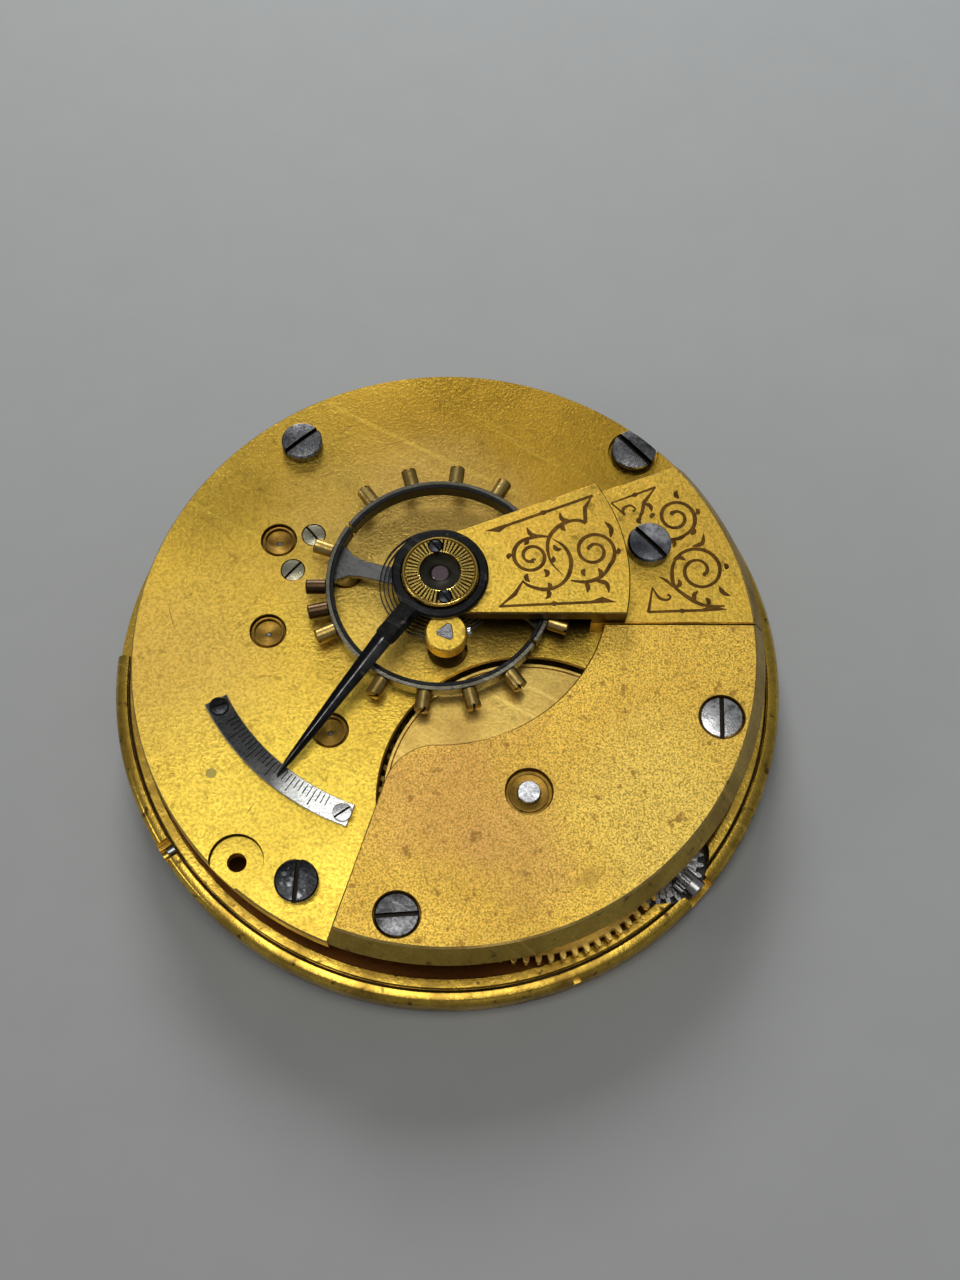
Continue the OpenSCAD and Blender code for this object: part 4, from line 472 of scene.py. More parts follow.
# Near-black colour for the faces that slots, ticks and small holes cut, which darkens these recesses.
cut_near_black = finish("near_black_cut", (0.035, 0.028, 0.022), (0.015, 0.012, 0.01), 0.6, speck=0.3)
foot_screws = []
length = case_r - 0.4 - foot_r - 0.45
for turn in (foot_turn, foot_turn + 120, foot_turn + 240):
    stud = turned("stud", [(0, 0), (0.36, 0), (0.4, 0.05), (0.4, length - 0.06), (0.34, length),
        (0, length)], screw_grey, steps=32)
    stud = cut(stud, [block(((-1, 1), (-0.1, 0.1), (length - 0.3, length + 1)), 90, cut_near_black)])
    foot_screws.append(laid(stud, (*polar(foot_r + 0.5, turn), foot_z), turn))
put(joined("dial_foot_screws_steel", foot_screws), "frame", "dial_foot_screws")

# Hour wheel. A brass wheel of forty teeth under the dial, turned with a pipe that carries the
# hour hand. It runs freely on the cannon pinion and is driven by the minute wheel's leaves.
def inset(ring, depth):
    moved = []
    for k, here in enumerate(ring):
        before, after = ring[k - 1], ring[(k + 1) % len(ring)]
        normals = []
        for start, end in ((before, here), (here, after)):
            length = math.dist(start, end) or 1
            normals.append((-(end[1] - start[1]) / length, (end[0] - start[0]) / length))
        (ax, ay), (bx, by) = normals
        scale = depth / max(0.35, 1 + ax * bx + ay * by)
        moved.append((here[0] + (ax + bx) * scale, here[1] + (ay + by) * scale))
    return moved


def marked(obj, marks):
    for face, mark in zip(obj.data.polygons, marks):
        face.material_index = mark
    return obj


# A solid between level outlines, each with its height. Each band between two levels has the
# number of its material, and the end faces have the first one.
def stack(name, rows, bands, *materials, holes=()):
    points, faces, marks, caps = [], [], [], ([], [])
    for number, ring in enumerate([rows, *holes]):
        lines = []
        for outline, height in ring:
            lines.append(list(range(len(points), len(points) + len(outline))))
            points += [(x, y, height) for x, y in outline]
        for band, (low_line, high_line) in zip(bands, zip(lines, lines[1:])):
            faces += between(low_line[0], high_line[0], len(low_line))
            marks += [band] * len(low_line)
        caps[0].append(lines[0])
        caps[1].append(lines[-1])
    for lines in caps:
        flat = [c for line in lines for c in line]
        loops = [[Vector((points[c][0], points[c][1], 0)) for c in line] for line in lines]
        for corner in tessellate_polygon(loops):
            faces.append([flat[c] for c in corner])
            marks.append(0)
    return marked(solid(name, points, faces, *materials), marks)


# A flat piece with its edges broken: an outline with holes, and a bevel at the faces
def plate(name, outer, z0, z1, material, edge=None, bevel=0.05, holes=()):
    def rows(ring, sign):
        small = inset(ring, sign * bevel)
        return [(small, z0), (ring, z0 + bevel), (ring, z1 - bevel), (small, z1)]

    mark = 1 if edge else 0
    return stack(name, rows(outer, 1), (mark, 0, mark), material, *([edge] if edge else []),
        holes=[rows(ring, -1) for ring in holes])


# A toothed outline: rounded flanks between the root and the tip of each tooth
def toothed(count, module, phase=0.0, add=0.95, ded=1.25, centre=(0.0, 0.0)):
    pitch, step = count * module / 2, 360 / count
    root, tip = pitch - ded * module, pitch + add * module
    shape = ((-0.31, root), (-0.27, root + 0.1 * module), (-0.24, pitch),
        (-0.18, pitch + 0.55 * add * module), (-0.08, tip), (0.08, tip),
        (0.18, pitch + 0.55 * add * module), (0.24, pitch), (0.27, root + 0.1 * module), (0.31, root))
    return [polar(r, phase + step * (k + share), centre) for k in range(count) for share, r in shape]


def ring_of(radius, centre=(0.0, 0.0), count=48):
    return [polar(radius, -360 * k / count, centre) for k in range(count)]


dial_brass = finish("dial_side_brass", (0.72, 0.48, 0.14), (0.45, 0.27, 0.08), 0.30, patch=0.5, scratch=0.3)
bright_steel = finish("bright_steel", (0.62, 0.62, 0.62), (0.34, 0.33, 0.32), 0.24, patch=0.5, speck=0.25,
    scratch=0.5, patch_scale=500, dark=(0.12, 0.08, 0.05))
low, high = levels("hour_wheel")
minute_turn = heading((0, 0), minute_p)
hour = plate("hour_wheel", toothed(40, 0.1536, minute_turn), high - 0.25, high, dial_brass, bevel=0.02,
    holes=[ring_of(0.75)])
pipe = turned("hour_pipe", [(0.75, low), (1.04, low), (1.1, low + 0.06), (1.1, high - 0.3),
    (1.2, high - 0.25), (0.75, high - 0.25)], dial_brass, steps=64)
put(joined("hour_wheel", [hour, pipe]), "hour", "hour_wheel")

# Minute wheel. A brass wheel of thirty-six teeth, riveted on a steel pinion of ten leaves. The
# cannon pinion drives the wheel, and the leaves drive the hour wheel.
low, high = levels("minute_wheel")
minute = plate("minute_wheel", toothed(36, 0.16, minute_turn + 180, centre=minute_p), high - 0.25, high,
    dial_brass, bevel=0.02, holes=[ring_of(0.38, minute_p)])
leaves = plate("minute_leaves", toothed(10, 0.1536, minute_turn + 198, 0.8, centre=minute_p), low,
    high - 0.25, bright_steel, bevel=0.02, holes=[ring_of(0.38, minute_p)])
put(joined("minute_wheel", [minute, leaves]), "minute", "minute_wheel")

# Cannon pinion. A hardened steel pinion of twelve leaves with a pipe for the minute hand. It is
# pushed on the end of the centre arbor and grips it by friction.
low, high = levels("cannon_pinion")
cannon = turned("cannon_tube", [(0.4, low), (0.5, low), (0.56, low + 0.05), (0.56, low + 0.8),
    (0.66, low + 0.8), (0.72, low + 0.86), (0.72, high - 0.37), (0.4, high - 0.37)], bright_steel, steps=48)
leaves = plate("cannon_leaves", toothed(12, 0.16, minute_turn + 15, 0.8), high - 0.39, high, bright_steel,
    bevel=0.02, holes=[ring_of(0.4)])
put(joined("cannon_pinion", [cannon, leaves]), "centre", "cannon_pinion")

# Minute wheel post. A short plain steel post, driven into the dial side of the pillar plate. The
# minute wheel turns on it.
low, high = levels("minute_wheel_post")
put(turned("minute_wheel_post", [(0, low), (0.28, low), (0.35, low + 0.06), (0.35, high), (0, high)],
    bright_steel, minute_p, 40), "frame", "minute_wheel_post")

# Ratchet wheel. A hardened steel wheel of fifty teeth on the square of the barrel arbor, under
# the dial. The crown wheel turns it to wind the mainspring.
ratchet_steel = finish("ratchet_steel", (0.50, 0.50, 0.51), (0.26, 0.24, 0.22), 0.26, patch=0.6, speck=0.4,
    scratch=0.6, patch_scale=400, dark=(0.10, 0.06, 0.04))
low, high = levels("ratchet_wheel")
square = [polar(0.6 * math.sqrt(2), -45 - 90 * k, barrel_p) for k in range(4)]
ratchet = plate("ratchet_wheel", toothed(50, 0.2248, -16.07, 0.9, centre=barrel_p), low, high,
    ratchet_steel, bright_steel, 0.03, holes=[square])
put(ratchet, "winding_arbor", "ratchet_wheel")

# Crown wheel. A hardened steel wheel of twenty-eight teeth that turns the ratchet wheel. It runs
# on a shoulder screw, and the winding pinion drives it by thirty-six face teeth cut in its back.
low, high = levels("crown_wheel")
crown = plate("crown_wheel", toothed(28, 0.2248, 163.93 + 180 / 28, 0.9, centre=crown_p), low, low + 0.5,
    ratchet_steel, bright_steel, 0.03, holes=[ring_of(0.58, crown_p)])
face_ring = turned("face_ring", [(2.26, low + 0.5), (2.86, low + 0.5), (2.86, high), (2.26, high)],
    ratchet_steel, crown_p, 96)
gaps = [block(((2.1, 3.1), (-0.16, 0.16), (low + 0.56, high + 1)), stem_turn + 10 * k + 5, ratchet_steel,
    crown_p) for k in range(36)]
put(joined("crown_wheel", [crown, cut(face_ring, gaps)]), "crown", "crown_wheel")

# Winding pinion. A small steel pinion of ten leaves that lies in the rim, with a square hole for
# the stem. The stem turns it, and its leaves turn the crown wheel.
pinion_parts = []
for name, section in (("tail", [(0, 19.0), (0.4, 19.0), (0.45, 19.05), (0.45, 20.61), (0, 20.61)]),
        ("hub", [(0, 21.31), (0.6, 21.31), (0.65, 21.36), (0.65, 22.02), (0.6, 22.08), (0, 22.08)])):
    pinion_parts.append(turned(name, section, ratchet_steel, steps=48))
pinion_parts.append(plate("leaves", toothed(10, 0.1422, 18, 0.85), 20.61, 21.36, ratchet_steel, bevel=0.02))
pinion_parts[1] = cut(pinion_parts[1], [block(((-0.31, 0.31), (-0.31, 0.31), (21.5, 23)), 0, cut_near_black)])
pinion = laid(joined("winding_pinion", pinion_parts), (0, 0, stem_z), stem_turn)
put(pinion, "winding", "winding_pinion")

# Click. A flat steel pawl, filed to shape, that turns on a shoulder screw. Its nose drops between
# the ratchet wheel's teeth and keeps the mainspring from running down.
low, high = levels("click")
click_body = [polar(1.2, a) for a in range(60, 316, 15)]
click_body += [(1.55, -0.42), (2.07, -0.25), (2.12, 0.16), (1.5, 0.62)]
put(plate("click", placed(click_body, click_p, 16), low, high, bright_steel, bevel=0.04,
    holes=[ring_of(0.59, click_p)]), "click_pawl", "click")

# Click spring. A steel eye held under its own screw, with a long thin blade filed from the same
# piece. The blade presses the click home.
low, high = levels("click_spring")
eye = plate("spring_eye", arc(1.0, 0, 345, 23, spring_foot), low, high, bright_steel, bevel=0.04,
    holes=[ring_of(0.55, spring_foot)])
blade_turn = heading(spring_foot, click_p) + math.degrees(math.asin(1.25 / 3.4))
blade_line = [(0.8, 0), (3.55, 0.0), (3.6, 0.05), (3.55, 0.16), (2.4, 0.2), (0.8, 0.22)]
blade = plate("spring_blade", placed(blade_line, spring_foot, blade_turn), low + 0.02, high - 0.02,
    bright_steel, bevel=0.02)
put(joined("click_spring", [eye, blade]), "frame", "click_spring")

# Shoulder screws. Four steel screws turned with a shoulder under the head, driven into the pillar
# plate's dial side. They hold the crown wheel, the click, its spring and the setting lever.
low, high = levels("winding_screws")
shoulders = []
for place, turn, depth in ((crown_p, 12, 2.2), (click_p, 70, 1.5), (spring_foot, 100, 1.5),
        (lever_pivot, 40, 1.5)):
    body = turned("shoulder_screw", [(0, low), (0.9, low), (1.0, low + 0.06), (1.0, low + 0.2),
        (0.95, low + 0.25), (0.55, low + 0.25), (0.55, 0.91), (0.35, 0.91), (0.35, depth), (0, depth)],
        screw_grey, place, 48)
    shoulders.append(cut(body, [block(((-2, 2), (-0.12, 0.12), (low - 1, low + 0.14)), turn, cut_near_black, place)]))
put(joined("shoulder_screws", shoulders), "frame", "winding_screws")

# Setting lever. A flat steel arm that turns on its shoulder screw under the dial. Pulled out at
# the rim, it puts the winding stem into hand setting.
low, high = levels("setting_lever")
lever_hub = arc(1.0, 45, 315, 20)
lever_tip = [(7.9, -0.65), (8.3, -0.5), (8.42, 0.0), (8.3, 0.5), (7.9, 0.65)]
outline = placed(lever_hub + lever_tip, lever_pivot, lever_turn)
put(plate("setting_lever", outline, low, high, bright_steel, bevel=0.05,
    holes=[ring_of(0.59, lever_pivot)]), "set_lever", "setting_lever")

# Train wheels. The centre, third and fourth wheels are cut in brass, crossed out to five arms and
# riveted on their arbors. Each drives the next arbor's pinion, up to the escape wheel's.
train_brass = finish("train_brass", (0.74, 0.50, 0.12), (0.46, 0.28, 0.07), 0.27, patch=0.6, speck=0.2,
    scratch=0.4)


# The windows between the arms of a crossed-out wheel, clockwise in plan
def windows(inner, outer, arms, half, phase, centre):
    rings = []
    for k in range(arms):
        start, end = phase + 360 * k / arms, phase + 360 * (k + 1) / arms
        a_out, a_in = math.degrees(half / outer), math.degrees(half / inner)
        ring = arc(outer, start + a_out, end - a_out, 14, centre)
        ring += arc(inner, end - a_in, start + a_in, 8, centre)
        rings.append(ring[::-1])
    return rings


def crossed(name, place, count, module, phase, rim, arm, hub, hole, z0, z1):
    inner = count * module / 2 - 1.25 * module - rim
    holes = windows(hub, inner, 5, arm / 2, phase + 11, place) + [ring_of(hole, place)]
    return plate(name, toothed(count, module, phase, 0.9, centre=place), z0, z1, train_brass, bevel=0.025,
        holes=holes)


balance_p, third_p, fourth_p, escape_p, pallet_p = (axis_at(joint)[:2] for joint in (
    "balance_swing", "third_turn", "fourth_turn", "escape_turn", "lever_swing"))
centre_p = (0.0, 0.0)
to_third, to_fourth, to_escape = heading(centre_p, third_p), 121.9, 86.1
for node, place, count, module, phase, rim_w, arm, hub, hole in (
        ("centre_wheel", centre_p, 75, 0.22, to_third, 0.6, 0.7, 1.7, 0.55),
        ("third_wheel", third_p, 80, 0.17932, to_fourth, 0.45, 0.45, 1.0, 0.24),
        ("fourth_wheel", fourth_p, 80, 0.15045, to_escape, 0.4, 0.4, 0.9, 0.24)):
    wheel = crossed(node, place, count, module, phase, rim_w, arm, hub, hole, *levels(node))
    put(wheel, node.split("_")[0], node)

# Train arbors. Hardened steel arbors, turned with a fine pivot at each end, with their pinions'
# leaves cut in them. They run between the pillar plate and the top plate.
pinion_steel = finish("pinion_steel", (0.55, 0.55, 0.56), (0.30, 0.28, 0.27), 0.22, patch=0.4, scratch=0.4)


def arbor(node, place, radius=0.24, pivot=0.14, pinion=None):
    foot, top = levels(node)
    low_end, high_end = 1.79, 4.66
    section = [(0, foot), (pivot - 0.02, foot), (pivot, foot + 0.03), (pivot, low_end),
        (radius - 0.03, low_end), (radius, low_end + 0.03), (radius, high_end - 0.03),
        (radius - 0.03, high_end), (pivot, high_end), (pivot, top - 0.03), (pivot - 0.02, top), (0, top)]
    parts = [turned(node, section, pinion_steel, place, 32)]
    if pinion:
        count, module, phase, z0, z1 = pinion
        parts.append(plate(node, toothed(count, module, phase, 0.8, 1.1, centre=place), z0, z1,
            pinion_steel, bevel=0.02, holes=[ring_of(radius - 0.02, place, 24)]))
    return joined(node, parts)


put(arbor("centre_arbor", centre_p, 0.55, 0.4), "centre", "centre_arbor")
put(arbor("third_pinion", third_p, pinion=(10, 0.22, to_third + 198, 1.9, 2.4)), "third", "third_pinion")
low, high = levels("fourth_pinion")
fourth = [arbor("fourth_pinion", fourth_p, pinion=(10, 0.1793, to_fourth + 198, 2.45, 2.85)),
    turned("journal", [(0, low), (0.27, low), (0.3, low + 0.03), (0.3, 1.79), (0.4, 1.79), (0.4, 2.45),
    (0, 2.45)], pinion_steel, fourth_p, 32)]
put(joined("fourth_pinion", fourth), "fourth", "fourth_pinion")
put(arbor("escape_pinion", escape_p, pinion=(8, 0.1505, to_escape + 202.5, 3.04, 3.46)), "escape",
    "escape_pinion")

# Safety pinion. A steel pinion of twelve leaves, screwed on the centre arbor and driven by the
# barrel. If the mainspring breaks, its recoil unscrews the pinion and spares the wheels.
low, high = levels("safety_pinion")
safety = plate("safety_pinion", toothed(12, 0.2504, heading(centre_p, barrel_p) + 15, 0.85, 1.1), low, high,
    pinion_steel, bevel=0.04, holes=[ring_of(0.56)])
put(safety, "centre", "safety_pinion")

# Escape wheel. A thin brass wheel of fifteen long teeth, crossed out to four arms and riveted on
# its pinion. Its teeth push in turn on the lever's two stones.
pallet_turn = heading(escape_p, pallet_p)
low, high = levels("escape_wheel")
root, tip = 3.65, 4.399
tooth_line = []
for k in range(15):
    start = pallet_turn + 24 * (k + 0.5) - 7
    for radius, turn in ((root, 0), (tip - 0.3, 3.9), (tip - 0.08, 5.3), (tip, 7.4), (tip - 0.05, 9),
            (tip - 0.4, 7.9), (root, 7)):
        tooth_line.append(polar(radius, start + turn, escape_p))
holes = windows(0.85, root - 0.35, 4, 0.22, pallet_turn + 20, escape_p) + [ring_of(0.24, escape_p, 24)]
put(plate("escape_wheel", tooth_line, low, high, train_brass, bevel=0.02, holes=holes), "escape",
    "escape_wheel")

# Pallet stones. Two small blocks of ruby, ground flat and set with shellac in the lever's arms.
# The escape wheel's teeth slide over their ends.
def jewel(name, colour, deep):
    material = finish(name, colour, deep, 0.12, patch=0.6, speck=0.0, bump=0.03, scratch=0.0)
    shader = material.node_tree.nodes["Principled BSDF"]
    shader.inputs["Metallic"].default_value = 0.0
    shader.inputs["Coat Weight"].default_value = 1.0
    return material


ruby = jewel("ruby", (0.42, 0.02, 0.05), (0.20, 0.01, 0.03))
stone_at = tip + 0.27
low, high = levels("pallet_stones")
stones = []
for turn in (pallet_turn + 30, pallet_turn - 30):
    ring = placed([(stone_at, -0.21), (stone_at + 1, -0.21), (stone_at + 1, 0.21), (stone_at, 0.21)],
        escape_p, turn)
    stones.append(plate("stone", ring, low, high, ruby, bevel=0.02))
put(joined("pallet_stones", stones), "lever", "pallet_stones")

# Pallet lever. A steel lever, filed flat and polished, with an arm for each stone. The fork at its
# far end swings the balance by the roller jewel, and its tail stops on the two banking pins.
lever_steel = finish("lever_steel", (0.58, 0.58, 0.59), (0.34, 0.32, 0.30), 0.22, patch=0.4, scratch=0.5)
fork_turn = heading(pallet_p, balance_p)
fork = math.dist(pallet_p, balance_p) - 0.72
low, high = levels("pallet_lever")
parts = [turned("boss", [(0.24, low), (0.55, low), (0.55, high), (0.24, high)], lever_steel, pallet_p, 48)]
body = [(-0.2, 0.5), (-0.2, -0.5), (2.4, -0.3), (fork - 1.1, -0.3), (fork - 0.75, -0.75), (fork, -0.7),
    (fork, -0.28), (fork - 0.55, -0.28), (fork - 0.55, 0.28), (fork, 0.28), (fork, 0.7),
    (fork - 0.75, 0.75), (fork - 1.1, 0.3), (2.4, 0.3)]
parts.append(plate("fork", placed(body, pallet_p, fork_turn), high - 0.3, high, lever_steel, bevel=0.03))
tail = [(0.0, 0.0)] + arc(3.9, 138.2, 168.8, 6)
parts.append(plate("tail", placed(tail, pallet_p, 0), high - 0.3, high, lever_steel, bevel=0.02))
for side in (1, -1):
    near, far = stone_at + 0.13, stone_at + 1.24
    turns = [pallet_turn + side * 35 * k / 6 for k in range(7)]
    ring = [polar(near, a, escape_p) for a in turns]
    ring += [polar(far, a, escape_p) for a in turns[:3:-1]]
    ring += [polar(near + 0.75, a, escape_p) for a in turns[3::-1]]
    parts.append(plate("pallet_arm", ring if side < 0 else ring[::-1], low, low + 0.3, lever_steel,
        bevel=0.02))
put(joined("pallet_lever", parts), "lever", "pallet_lever")

# Pallet arbor. A hardened steel arbor with a fine pivot at each end. The lever is driven on it,
# and it turns between the pillar plate and the top plate.
put(arbor("pallet_arbor", pallet_p), "lever", "pallet_arbor")

# Barrel. A brass drum that holds the mainspring, with the great wheel's seventy-eight teeth cut in
# its foot. It turns on its arbor and drives the safety pinion.
barrel_brass = finish("barrel_brass", (0.80, 0.56, 0.14), (0.52, 0.31, 0.08), 0.34, patch=0.8, speck=0.35,
    scratch=0.6, patch_scale=240)
low, high = levels("barrel")
teeth = plate("great_wheel", toothed(78, 0.2504, heading(barrel_p, centre_p), 0.9, centre=barrel_p), low,
    low + 0.6, barrel_brass, bevel=0.05, holes=[ring_of(8.5, barrel_p, 128)])
drum = turned("drum", [(1.35, low), (9.15, low), (9.2, low + 0.7), (9.2, high - 0.06), (9.14, high),
    (8.97, high), (8.97, 3.3), (1.35, 3.3)], barrel_brass, barrel_p, 192)
put(joined("barrel", [teeth, drum]), "drum", "barrel")

# Barrel cap. A brass disc, turned to snap into the barrel's open upper end. It closes the barrel
# over the mainspring and bears on the arbor.
low, high = levels("barrel_cap")
put(turned("barrel_cap", [(0.95, low), (8.9, low), (8.95, low + 0.05), (8.95, high - 0.12),
    (8.88, high - 0.05), (1.4, high - 0.05), (1.35, high), (0.95, high)], barrel_brass, barrel_p, 192),
    "drum", "barrel_cap")

# Mainspring. A long strip of blued steel, coiled on edge in the barrel and hooked to the barrel
# outside and to the arbor inside. It drives the whole train.


# The two edges of a band along a line in plan, from half its width at each point
def edges(line, halves):
    pairs = []
    for k, ((x, y), half) in enumerate(zip(line, halves)):
        before, after = line[max(0, k - 1)], line[min(len(line) - 1, k + 1)]
        length = math.dist(before, after) or 1
        nx, ny = -(after[1] - before[1]) / length * half, (after[0] - before[0]) / length * half
        pairs.append(((x + nx, y + ny), (x - nx, y - ny)))
    return pairs


# A flat strip stood on edge and wound along a line in plan
def strip(name, line, z0, z1, thick, material):
    points = []
    for left, right in edges(line, [thick / 2] * len(line)):
        points += [(*right, z0), (*left, z0), (*left, z1), (*right, z1)]
    last = len(points) - 4
    faces = [(0, 1, 2, 3), (last + 3, last + 2, last + 1, last)]
    for row in range(0, last, 4):
        faces += between(row, row + 4, 4)
    return solid(name, points, faces, material)


blue_spring = finish("mainspring_steel", (0.32, 0.34, 0.40), (0.16, 0.17, 0.20), 0.25, patch=0.5,
    scratch=0.4)
low, high = levels("mainspring")
coils = [polar(2.2 + 6.35 * k / 648, 5 * k + 30, barrel_p) for k in range(649)]
put(strip("mainspring", coils, low + 0.05, high - 0.05, 0.2, blue_spring), "drum", "mainspring")

# Barrel arbor. A steel arbor, turned with a thick middle for the spring and a pivot at each end,
# with a square filed on its foot for the ratchet wheel. It runs in the pillar plate and bridge.
low, high = levels("barrel_arbor")
arbor_steel = finish("mottled_arbor", (0.86, 0.87, 0.88), (0.34, 0.35, 0.38), 0.26, patch=1.0, speck=0.9,
    scratch=0.4, patch_scale=2600, dark=(0.18, 0.18, 0.20), sparkle=0.5)
shaft = turned("arbor", [(0, 0.97), (0.9, 0.97), (0.9, 1.75), (1.3, 1.79), (1.3, 2.9), (1.25, 2.95),
    (0.9, 2.95), (0.9, 3.4), (2.0, 3.45), (2.0, 5.41), (0.9, 5.46), (0.9, 5.96), (0.72, 5.98),
    (0.72, high - 0.05), (0.67, high), (0, high)], arbor_steel, barrel_p, 64)
square = block(((-0.6, 0.6), (-0.6, 0.6), (low, 1.15)), 0, bright_steel, barrel_p)
put(joined("barrel_arbor", [shaft, square]), "winding_arbor", "barrel_arbor")

# Potance. A gilt brass arm screwed under the top plate. It carries the lower jewel of the balance
# and its endstone, and its screw comes down through the top plate.
dark_gilt = finish("potance_gilt", (0.62, 0.38, 0.10), (0.30, 0.15, 0.04), 0.32, patch=0.6)
low, high = levels("potance")
potance_p = (3.59, 6.61)
foot = turned("foot", [(0, low), (1.25, low), (1.3, low + 0.05), (1.3, high), (0, high)], dark_gilt,
    potance_p, 64)
ring = arc(1.3, 90, 270, 24) + arc(1.3, -90, 90, 24, (math.dist(balance_p, potance_p), 0))
arm = plate("arm", placed(ring, balance_p, heading(balance_p, potance_p)), low + 0.002, low + 0.7,
    dark_gilt, bevel=0.04, holes=[ring_of(0.55, balance_p)])
put(joined("potance", [foot, arm]), "frame", "potance")

# Lower balance jewels. A ruby with a fine hole and a flat ruby endstone under it, pressed into the
# potance. The balance staff's lower pivot runs in them.
low, high = levels("lower_balance_jewels")
hole_jewel = turned("hole_jewel", [(0.11, high - 0.3), (0.55, high - 0.3), (0.55, high), (0.3, high),
    (0.11, high - 0.1)], ruby, balance_p, 48)
endstone = turned("endstone", [(0, low), (0.5, low), (0.55, low + 0.05), (0.55, low + 0.34),
    (0, low + 0.34)], ruby, balance_p, 48)
put(joined("lower_jewels", [hole_jewel, endstone]), "frame", "lower_balance_jewels")

# Top plate. The round gilt plate that covers the train, with a deep round cut-out for the
# barrel. Its pivot holes stand in polished oil sinks. The gilding is worn to bare brass along
# the edges. It is redder and darker at the top, partly from tarnish and partly as painted shade,
# and duller at the left and under the balance; two dark marks under the cock are a painted
# shadow, and a bright yellow patch at the lower left is a painted highlight.
# Of these marks, the two at the top are partly tarnish and partly painted shade, the two small dark ones
# under the cock are a painted shadow, and the bright yellow one at the lower left is a painted highlight.
plate_tones_and_painted_light = (((-10, 14, 6.06), 11.0, (0.36, 0.22, 0.03), 0.75),
    ((6, 17, 6.06), 12.0, (0.34, 0.185, 0.015), 0.8), ((-3, 6, 6.06), 9.0, (0.56, 0.40, 0.14), 0.5),
    ((3.6, 1.4, 6.06), 2.3, (0.06, 0.035, 0.01), 0.85), ((7.6, 1.4, 6.06), 2.3, (0.06, 0.035, 0.01), 0.85),
    ((-17, -2, 6.06), 8.0, (0.70, 0.46, 0.11), 0.6), ((-11, -11, 6.06), 10.0, (1.0, 0.74, 0.10), 0.7))
plate_gilt = finish("plate_gilt", (0.92, 0.62, 0.085), (0.66, 0.40, 0.055), 0.34, patch=0.75, speck=0.45,
    bump=0.7, scratch=0.12, patch_scale=130, sparkle=0.50, stains_and_painted_light=plate_tones_and_painted_light)
edge_gilt = finish("worn_edge", (0.90, 0.64, 0.20), (0.34, 0.20, 0.06), 0.24, patch=0.85, speck=0.4,
    scratch=0.5, patch_scale=300)
sink_gilt = finish("sink_gilt", (0.34, 0.20, 0.035), (0.15, 0.08, 0.015), 0.36, patch=0.9, speck=0.4,
    scratch=0.3, patch_scale=700)
olive = finish("olive_slope", (0.60, 0.41, 0.08), (0.26, 0.16, 0.03), 0.34, patch=0.9, speck=0.6,
    scratch=0.5)
low, high = levels("top_plate")
outline = arc(20.63, -5.563, 249.37, 300) + arc(9.5, 183.23, 57.94, 100, barrel_p)
plate_body = stack("top_plate", [(inset(outline, 0.1), low), (outline, low + 0.1), (outline, high - 0.12),
    (inset(outline, 0.1), high)], (1, 2, 1), plate_gilt, edge_gilt, olive)
tools = []
z0, z1 = 4, 7
for place in (third_p, fourth_p, escape_p, pallet_p):
    tools.append(turned("tool", [(0, z0), (0.17, z0), (0.17, 5.45), (0.30, 5.47), (0.90, 5.56),
        (0.93, 5.88), (0.98, 5.88), (1.01, 5.70), (1.12, 5.72), (1.18, high - 0.04), (1.22, high),
        (1.22, z1), (0, z1)], sink_gilt, place, 64))
tools.append(stepped(centre_p, z0, [(0.43, high - 0.85), (1.3, z1)], sink_gilt))
# The cut-out's wall round the barrel is painted shade.
tools.append(bore(barrel_p, 9.52, z0, high - 0.12, recess_shade_dark))
tools.append(bore(balance_p, 1.05, z0, z1, plate_gilt))
banking_p = [polar(3.5, a, pallet_p) for a in (129, 178)]
tools += [stepped(p, z0, [(0.47, high - 0.45), (0.82, z1)], sink_gilt, 48) for p in banking_p]
tools.append(stepped(potance_p, z0, [(0.42, high - 0.55), (0.85, z1)], sink_gilt, 48))
case_p, case_hole = (12.66, 14.57), (-13.09, -14.18)
# The case-screw hole's wall is painted shade.
tools.append(bore(case_hole, 1.74, high - 0.43, z1, recess_shade_dark))
for place in (case_p, case_hole):
    tools.append(turned("tool", [(0, z0), (0.62, z0), (0.62, high - 0.45), (1.66, high - 0.45),
        (1.72, high - 0.4), (1.72, z1), (0, z1)], plate_gilt, place, 64))
tools.append(stepped(plate_pillars[2], z0, [(0.6, high - 0.82), (1.46, z1)], sink_gilt))
tools += [bore(p, 0.6, z0, z1, sink_gilt) for p in plate_pillars[:2]]
index_screw_p = [polar(16.275, a, balance_p) for a in (209.8, 248.2)]
tools += [bore(p, 0.32, 5.4, z1, sink_gilt) for p in index_screw_p]
put(cut(plate_body, tools, 24), "frame", "top_plate")

# Brass plug. A small round plug of plain brass, pressed into a hole of the top plate and
# finished flush with it.
plug_brass = finish("plug_brass", (0.44, 0.36, 0.10), (0.26, 0.20, 0.05), 0.34, patch=0.6, speck=0.4,
    scratch=0.5, patch_scale=1500)
low, high = levels("plate_plug")
put(turned("plug", [(0, low), (0.36, low), (0.36, high - 0.03), (0.33, high), (0, high)], plug_brass,
    (-14.95, -8.49), 40), "frame", "plate_plug")

# Banking screws. Two bright steel screws with an eccentric pin each below the plate. Turned by
# their slots, the pins set how far the lever swings.
steel_slot = finish("mottled_steel", (0.60, 0.58, 0.42), (0.18, 0.16, 0.10), 0.22, patch=0.9, speck=0.7,
    scratch=0.5, patch_scale=900, dark=(0.07, 0.04, 0.02))


